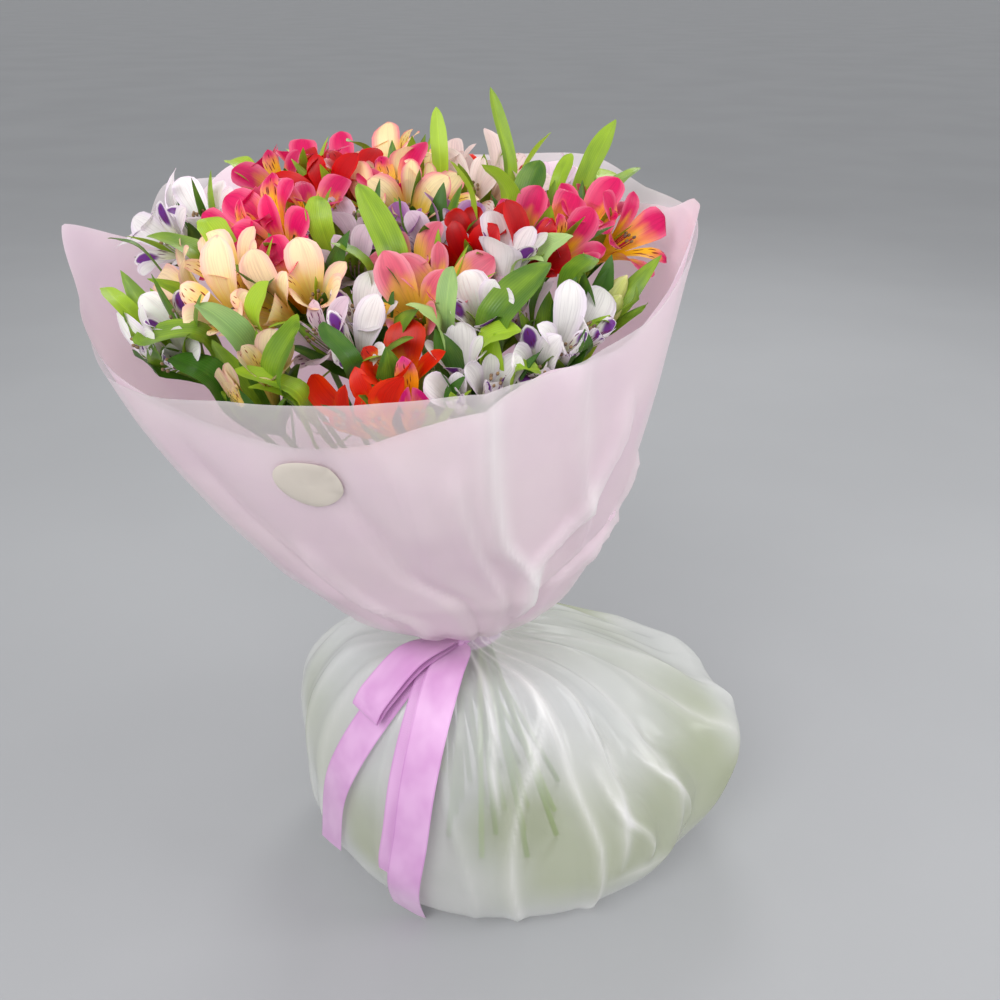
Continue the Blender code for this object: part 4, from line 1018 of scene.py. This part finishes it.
def wrap_point(height, bearing, inset, flare):
    x, y, radius, rise_x, rise_y = smooth_rows([row[1:] for row in WALL],
                                               float(np.interp(height, [row[0] for row in WALL], range(len(WALL)))))
    near_tie = math.exp(-((height / 0.085) ** 2)) * min(1, height / 0.02)
    fold = 3.2 * near_tie * pleats(bearing, 9, 4)
    for line, drift, reach, depth, width in WRAP_FOLDS:
        fade = min(1, height / 0.02) * math.exp(-((height / reach) ** 2))
        if fade > 0.01:
            fold += depth * fade * crease(bearing, line + drift * height / 0.1, width * (1 + height / 0.08))
    fold += 1.6 * min(1, height / 0.1) * pleats(bearing + 60 * height, 5, 21)
    for line, width, depth, _ in WRAP_LINES:
        where, fade = along_line(line, round(height, 3))
        if fade:
            fold += depth * fade * crease(bearing, where, width)
    reach = (radius + fold) * MM - inset + flare
    angle = math.radians(bearing)
    dx, dy = reach * math.cos(angle), reach * math.sin(angle)
    return Vector((x * MM + dx, y * MM + dy, TIE_CENTRE.z + height + rise_x * dx + rise_y * dy + inset))


def film_grid(edge, inset, rows=64, columns=288):
    grid = []
    for r in range(rows + 1):
        row = []
        for c in range(columns + 1):
            bearing = 360 * c / columns
            top, own_flare = round_curve(edge, bearing, 0.6)
            lilac_top, shared = round_curve(LILAC_EDGE, bearing, 0.6)
            height = top * (r / rows) ** 1.25
            flare = own_flare if edge is LILAC_EDGE else own_flare + shared
            late = max(0.0, (height - FLARE_START) / (top - FLARE_START)) if top > FLARE_START else 0
            row.append(wrap_point(height, bearing, inset, flare * late * MM))
        grid.append(row)
    return grid


def crease_highlight_and_doubling(lines, at, bearing):
    """How white the film is painted where it's creased: a painted highlight on the lit side of each fold, where the
    film also lies double.
    """
    total = 0.0
    for line, width, depth, bright in lines:
        where, fade = along_line(line, round(at, 3))
        if fade:
            # Shifted to one side of the crease: the painted highlight falls on its lit side
            total += 0.7 * bright * fade * crease(bearing, where + 0.3 * width, 1.1 * width)
    return min(1.0, total)


# Painted highlights along the wrap's creases; the top row of the rim is whitened by a quarter as well
def wrap_highlight_tones(edge, rows=64, columns=288):
    tones = []
    for r in range(rows + 1):
        heights = [round_curve(edge, 360 * c / columns, 0.6)[0] * (r / rows) ** 1.25 for c in range(columns + 1)]
        tones.append([crease_highlight_and_doubling(WRAP_LINES, h, 360 * c / columns) if r < rows else 0.25
                      for c, h in enumerate(heights)])
    return tones


def film_piece(name, grid, finish, node, tones=0.0):
    work = Patchwork()
    work.patch(grid, 0, tones)
    film = work.make(name, [finish])
    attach(film, "root")
    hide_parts(node)
    return film


lilac = film_piece("lilac_wrap", film_grid(LILAC_EDGE, 2.2 * MM), lilac_film, "lilac_sheet",
                   tones=wrap_highlight_tones(LILAC_EDGE))
frosted = film_piece("frosted_wrap", film_grid(FROSTED_EDGE, 0.0), frosted_film, "frosted_film",
                     tones=wrap_highlight_tones(FROSTED_EDGE))
print("film faces", len(lilac.data.polygons), len(frosted.data.polygons))

# %% [markdown]
# ## The skirt
# Below the tie the same film is drawn out over the cut ends, puffed up and tucked under. Long
# folds run down from the tie, and the right side is pulled out to a point.

# %% Skirt surface
puff = random.Random(12)
SKIRT_FOLDS = [(puff.uniform(0, 360), puff.uniform(-26, 26), puff.uniform(0.25, 0.8),
                puff.uniform(-1, 1), puff.uniform(3, 8)) for _ in range(64)]


# Row of the skirt and bearing, then half width, height and painted highlight on the lit side of the fold
SKIRT_LINES = (
    (((0.4, 270), (3.0, 272), (4.0, 272), (4.7, 270)), 4, 5.0, 1.0),
    (((3.2, 290), (3.8, 288), (5.0, 278), (6.4, 272), (9.0, 276)), 5, 4.5, 0.8),
    (((0.4, 281), (3.2, 292), (4.8, 292), (6.4, 296), (8.0, 298)), 4, 5.0, 0.9),
    (((0.4, 292), (3.0, 304), (4.4, 304), (5.2, 304), (6.0, 303)), 4, 5.0, 1.0),
    (((0.4, 300), (2.5, 316), (4.6, 318), (6.0, 320)), 5, 4.0, 0.7),
    (((0.4, 316), (2.5, 334), (4.6, 340), (5.4, 344)), 7, 4.0, 0.7),
    (((0.4, 330), (2.5, 350), (4.6, 358), (5.4, 360)), 6, 4.0, 0.6),
    (((0.4, 276), (2.6, 282), (4.4, 283)), 4, 3.5, 0.5),
    (((4.0, 308), (4.8, 306), (5.6, 312), (6.6, 316)), 4, -5.0, 0.0),
    (((4.4, 322), (5.2, 328), (6.4, 333)), 5, -5.0, 0.0),
    (((4.8, 300), (5.6, 303), (6.6, 312)), 3, 4.0, 0.8),
    (((4.6, 314), (5.4, 320), (6.4, 326)), 3, 4.0, 0.7),
    (((0.4, 250), (2.5, 244), (4.5, 238), (6.5, 234)), 5, 3.0, 0.4),
    (((0.4, 240), (2.5, 222), (4.5, 212), (7.0, 208)), 6, 3.5, 0.4),
    (((0.4, 225), (2.5, 204), (4.5, 198), (7.0, 197)), 6, 3.5, 0.4),
    (((0.4, 262), (3.0, 258), (5.0, 256), (7.5, 262)), 4, 3.0, 0.3),
)


def skirt_point(row, bearing, folded=True):
    radius, height, swell_share, drop_share = smooth_rows(SKIRT, row)
    out, drop = round_curve(SWELL, bearing)
    depth = row / (len(SKIRT) - 1)
    calm = 1 - 0.8 * math.exp(-(((bearing % 360) - 240) / 38) ** 2)
    fold = pleats(bearing, 8, 11) * calm
    belly = max(0.0, min(1.0, (row - 1.5) / 1.5)) * max(0.0, min(1.0, (9.5 - row) / 1.5))
    out += 6.0 * math.sin(math.pi * depth) * fold * belly
    reach = radius + out * max(0, swell_share)
    reach += 2.0 * fold * max(0.0, 1 - abs(row - 1.5) / 1.5)
    lift = height - drop * drop_share
    if folded:
        ridge = 0.0
        for line, drift, length, deep, width in SKIRT_FOLDS:
            fade = min(1, row / 1.0) * math.exp(-((depth / length) ** 3))
            if fade > 0.01:
                ridge += deep * fade * crease(bearing, line + drift * depth, width * (1 + 2 * depth))
        ridge *= calm * min(1.0, (10 - row) / 1.5)
        for line, width, deep, _ in SKIRT_LINES:
            where, fade = along_line(line, row)
            if fade:
                ridge += 0.2 * deep * fade * min(1, row / 2) * crease(bearing, where, width)
        reach += ridge * 5.0 * min(1, 0.4 + row / 5)
        lift += ridge * 3.0 * max(0.0, 1 - abs(row - 3) / 3)
    if folded and row < 2:
        collar = (1 - row / 2) ** 2
        lift += (22 + 3 * fold) * collar
        reach += (7 + 2.5 * fold) * collar
    centre = TIE_CENTRE.x * max(0.0, 1 - 1.6 * depth)
    angle = math.radians(bearing)
    return Vector((centre + reach * MM * math.cos(angle), reach * MM * math.sin(angle), max(0.0, lift * MM)))


skirt_rows = [10 * (k / 96) for k in range(97)]
skirt_grid = [[skirt_point(row, 360 * c / 320) for c in range(321)] for row in skirt_rows]
floor_ring = skirt_grid[-1]
middle = sum(floor_ring[:-1], Vector()) / (len(floor_ring) - 1)
for share in (0.66, 0.33, 0.02):
    skirt_grid.append([middle.lerp(Vector((p.x, p.y, 0)), share) for p in floor_ring])
# Painted highlights along the skirt's creases, and a whiter band low on the right where the film lies double
skirt_highlights_and_double_band = [[max(crease_highlight_and_doubling(SKIRT_LINES, row, 360 * c / 320), 0.55 * max(0.0, 1 - abs(row - 7.2) / 0.5)
                    * crease(360 * c / 320, 312, 34))
                for c in range(321)] for row in skirt_rows] + [[0.0] * 321] * 3
skirt = film_piece("skirt_puff", skirt_grid, skirt_film, "film_skirt", tones=skirt_highlights_and_double_band)
print("skirt faces", len(skirt.data.polygons))


# %% [markdown]
# ## Ribbon
# A satin ribbon, 25 mm wide, goes once round the tie and is knotted in front with two loops and
# two tails that lie over the skirt. Each length is a strip through a few stations, and its
# stations are given on the skirt's own rows, so it follows the film. Satin is smooth along the
# ribbon and threads run across it, so its highlight is drawn out over the width.

# %% Satin recipe
def satin_finish():
    recipe = Recipe("satin")
    across, along = recipe.place()
    threads = recipe.sum("SINE", recipe.sum("MULTIPLY", along, 2400.0))
    hems = recipe.between(recipe.sum("ABSOLUTE", recipe.sum("SUBTRACT", across, 0.5)), 0.455, 0.47)
    cloud = recipe.grain(recipe.sum("MULTIPLY", across, 1.2), recipe.sum("MULTIPLY", along, 9.0), 0.3)
    colour = recipe.mix(recipe.between(cloud, 0.3, 0.7), tint(206, 150, 202), tint(220, 172, 216))
    colour = recipe.mix(recipe.sum("MULTIPLY", hems, 0.4), colour, tint(180, 118, 178))
    recipe.link(colour, recipe.shader.inputs["Base Color"])
    recipe.shader.inputs["Roughness"].default_value = 0.32
    recipe.shader.inputs["Anisotropic"].default_value = 0.6
    recipe.shader.inputs["Sheen Weight"].default_value = 0.3
    recipe.bump(threads, 0.06, 0.0002)
    recipe.link(recipe.glow(colour, 0.15).outputs[0], recipe.output.inputs[0])
    return recipe.finish


satin = satin_finish()

# %% Ribbon stations: bearing, row of the skirt, mm above it and half width in mm
RIGHT_TAIL = (
    (263, 1, 10, 6), (259, 2, 11, 10), (256, 3, 11.5, 12.5), (253, 4, 12, 12.5),
    (250, 5, 12, 12.5), (247, 6, 12, 12.5), (244, 7, 11.5, 12.5), (240.5, 8.5, 7, 12.5),
)
LEFT_TAIL = (
    (260, 1, 7, 6), (249, 2, 7, 10), (240, 3, 6, 12.5), (232, 4, 5.5, 12.5),
    (225, 5, 5.5, 12.5), (218.5, 6, 5.5, 12.5), (211, 7.5, 6, 12.5),
)
LONG_LOOP = (
    (262, 1, 8.5, 6), (255, 2, 9, 10), (252, 3, 9, 12.5), (249, 4, 9, 12.5),
    (246, 5, 9, 12.5), (243, 6, 8.5, 12.5), (240.7, 6.6, 7.4, 12.5), (240, 6.9, 6.8, 12),
    (239.8, 7.0, 5, 12), (240, 6.9, 3.2, 12), (240.7, 6.6, 2.8, 12.5), (243, 6, 3, 12.5),
    (246, 5, 3, 12.5), (249, 4, 3, 12.5),
    (252, 3, 3.5, 12.5), (255, 2, 5, 10), (262, 1, 5.5, 6),
)
SHORT_LOOP = (
    (259, 1, 13, 6), (249, 2, 16, 10), (240, 2.9, 18.5, 12.5), (234, 3.6, 18.5, 12.5),
    (232, 3.9, 17.8, 12.5), (231.6, 4.0, 16, 12.5), (232, 3.9, 14.2, 12.5),
    (234, 3.6, 13.5, 12.5), (240, 2.9, 13, 12.5), (249, 2, 13, 10), (259, 1, 11.5, 6),
)


# %% Ribbon strips
def on_skirt(bearing, row, lift):
    point = skirt_point(row, bearing, False)
    down = skirt_point(min(row + 0.6, 9.9), bearing, False) - skirt_point(max(row - 0.6, 0), bearing, False)
    beside = skirt_point(row, bearing + 4, False) - skirt_point(row, bearing - 4, False)
    out = (point - TIE_CENTRE) * Vector((1, 1, 0))
    facing = down.cross(beside).normalized() + out.normalized() * max(0, 1.8 - row)
    facing.normalize()
    return point + facing * lift * MM, facing


def ribbon_grid(stations, slant=0.0, steps=10):
    surface = [on_skirt(bearing, row, 0) for bearing, row, _, _ in stations]
    middles = [on_skirt(*station[:3])[0] for station in stations]
    last = len(stations) - 1
    acrosses = []
    for i in range(last + 1):
        way = surface[min(i + 1, last)][0] - surface[max(i - 1, 0)][0]
        if way.length > 12 * MM or not acrosses:
            across = way.cross(surface[i][1]).normalized()
            turned = acrosses and across.dot(acrosses[-1]) < 0
            acrosses.append(-across if turned else across)
        else:
            acrosses.append(acrosses[-1])
    for end, beside in ((0, 1), (last, last - 1)):
        if stations[end][1] == 1:
            middles[end] = KNOT_CENTRE + Vector((0, 0, (stations[end][2] - 9.3) * MM))
            acrosses[end] = acrosses[beside]
    table = [(*m, *a, s[3]) for m, a, s in zip(middles, acrosses, stations)]
    grid, count = [], last * steps
    for k in range(count + 1):
        values = smooth_rows(table, last * k / count)
        after = smooth_rows(table, min(last * k / count + 0.08, last))
        middle, across, half = Vector(values[:3]), Vector(values[3:6]).normalized(), values[6] * MM
        along = (Vector(after[:3]) - middle).normalized() if k < count else along
        normal = across.cross(along)
        cut = slant * max(0.0, (k - count + steps) / steps)
        row = []
        for c in np.linspace(-1, 1, 9):
            bow = 0.35 * MM * math.cos(0.5 * math.pi * c)
            point = middle + across * half * c + normal * bow - along * cut * c
            row.append(Vector((point.x, point.y, max(point.z, 0.8 * MM))))
        grid.append(row)
    return grid


def ribbon_piece(name, grid, others=()):
    work = Patchwork()
    work.patch(grid, 0)
    strip = work.make(name, [satin])
    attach(strip, "root")
    return strip


tails = [ribbon_piece("right_tail", ribbon_grid(RIGHT_TAIL, 6 * MM)),
         ribbon_piece("left_tail", ribbon_grid(LEFT_TAIL, -6 * MM))]
loops = [ribbon_piece("long_loop", ribbon_grid(LONG_LOOP)), ribbon_piece("short_loop", ribbon_grid(SHORT_LOOP))]


# %% Band and knot
def band_grid(low, high, radius):
    rows = []
    for k in range(9):
        z = low + (high - low) * k / 8
        crinkle = [radius + 0.5 * MM * math.sin(9 * k + c / 9) for c in range(97)]
        rows.append([Vector((TIE_CENTRE.x + crinkle[c] * math.cos(2 * math.pi * c / 96),
                             TIE_CENTRE.y + crinkle[c] * math.sin(2 * math.pi * c / 96), z)) for c in range(97)])
    return rows


band_work = Patchwork()
band_work.patch(band_grid(0.1735, 0.1845, 30.4 * MM), 0)
band = band_work.make("satin_band", [satin])
knot_work = Patchwork()
knot_rows = []
for k in range(15):
    t = k / 14
    size = math.sin(math.pi * min(0.985, max(0.015, t))) ** 0.6
    row = []
    for c in range(33):
        angle = 2 * math.pi * c / 32
        crinkle = 1 + 0.07 * math.sin(7 * angle + 5 * t) + 0.04 * math.sin(11 * angle - 3 * t)
        row.append(KNOT_CENTRE + Vector((12.5 * size * crinkle * math.cos(angle),
                                         10 * size * crinkle * math.sin(angle), -7 + 16 * t)) * MM)
    knot_rows.append(row)
knot_work.patch(knot_rows, 0)
knot = knot_work.make("bow_knot", [satin])
for piece in (band, knot):
    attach(piece, "root")
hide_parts("satin_ribbon")
print("ribbon pieces", len(tails) + len(loops) + 2)


# %% [markdown]
# ## Label and tie
# The round sticker on the film is left blank. It's stiffer than the film, so it follows the wall
# in one direction only. The twine under the bow keeps its solid and gets a twisted-fibre finish.

# %% Label
def label_grid(height, bearing, size):
    rows = []
    for ring in (0.0, 0.35, 0.7, 0.93, 1.0):
        row = []
        for k in range(65):
            angle = 2 * math.pi * k / 64
            over, round_by = size * ring * math.sin(angle), math.degrees(size * ring * math.cos(angle) / 0.163)
            row.append(wrap_point(height + over, bearing + round_by, -1.0 * MM + 0.25 * MM * (ring == 1.0), 0))
        rows.append(row)
    return rows


label_work = Patchwork()
label_work.patch(label_grid(0.217, 258.5, 17.5 * MM), 0)
label = label_work.make("round_label", [plain_finish("label_paper", (214, 204, 192), (206, 196, 184), 40, 0.5)])
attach(label, "root")
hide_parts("label")

# %% Twine
twine = plain_finish("twine", (150, 120, 76), (112, 88, 54), 600, 0.9)
bpy.data.objects["binding_tie"].data.materials.clear()
bpy.data.objects["binding_tie"].data.materials.append(twine)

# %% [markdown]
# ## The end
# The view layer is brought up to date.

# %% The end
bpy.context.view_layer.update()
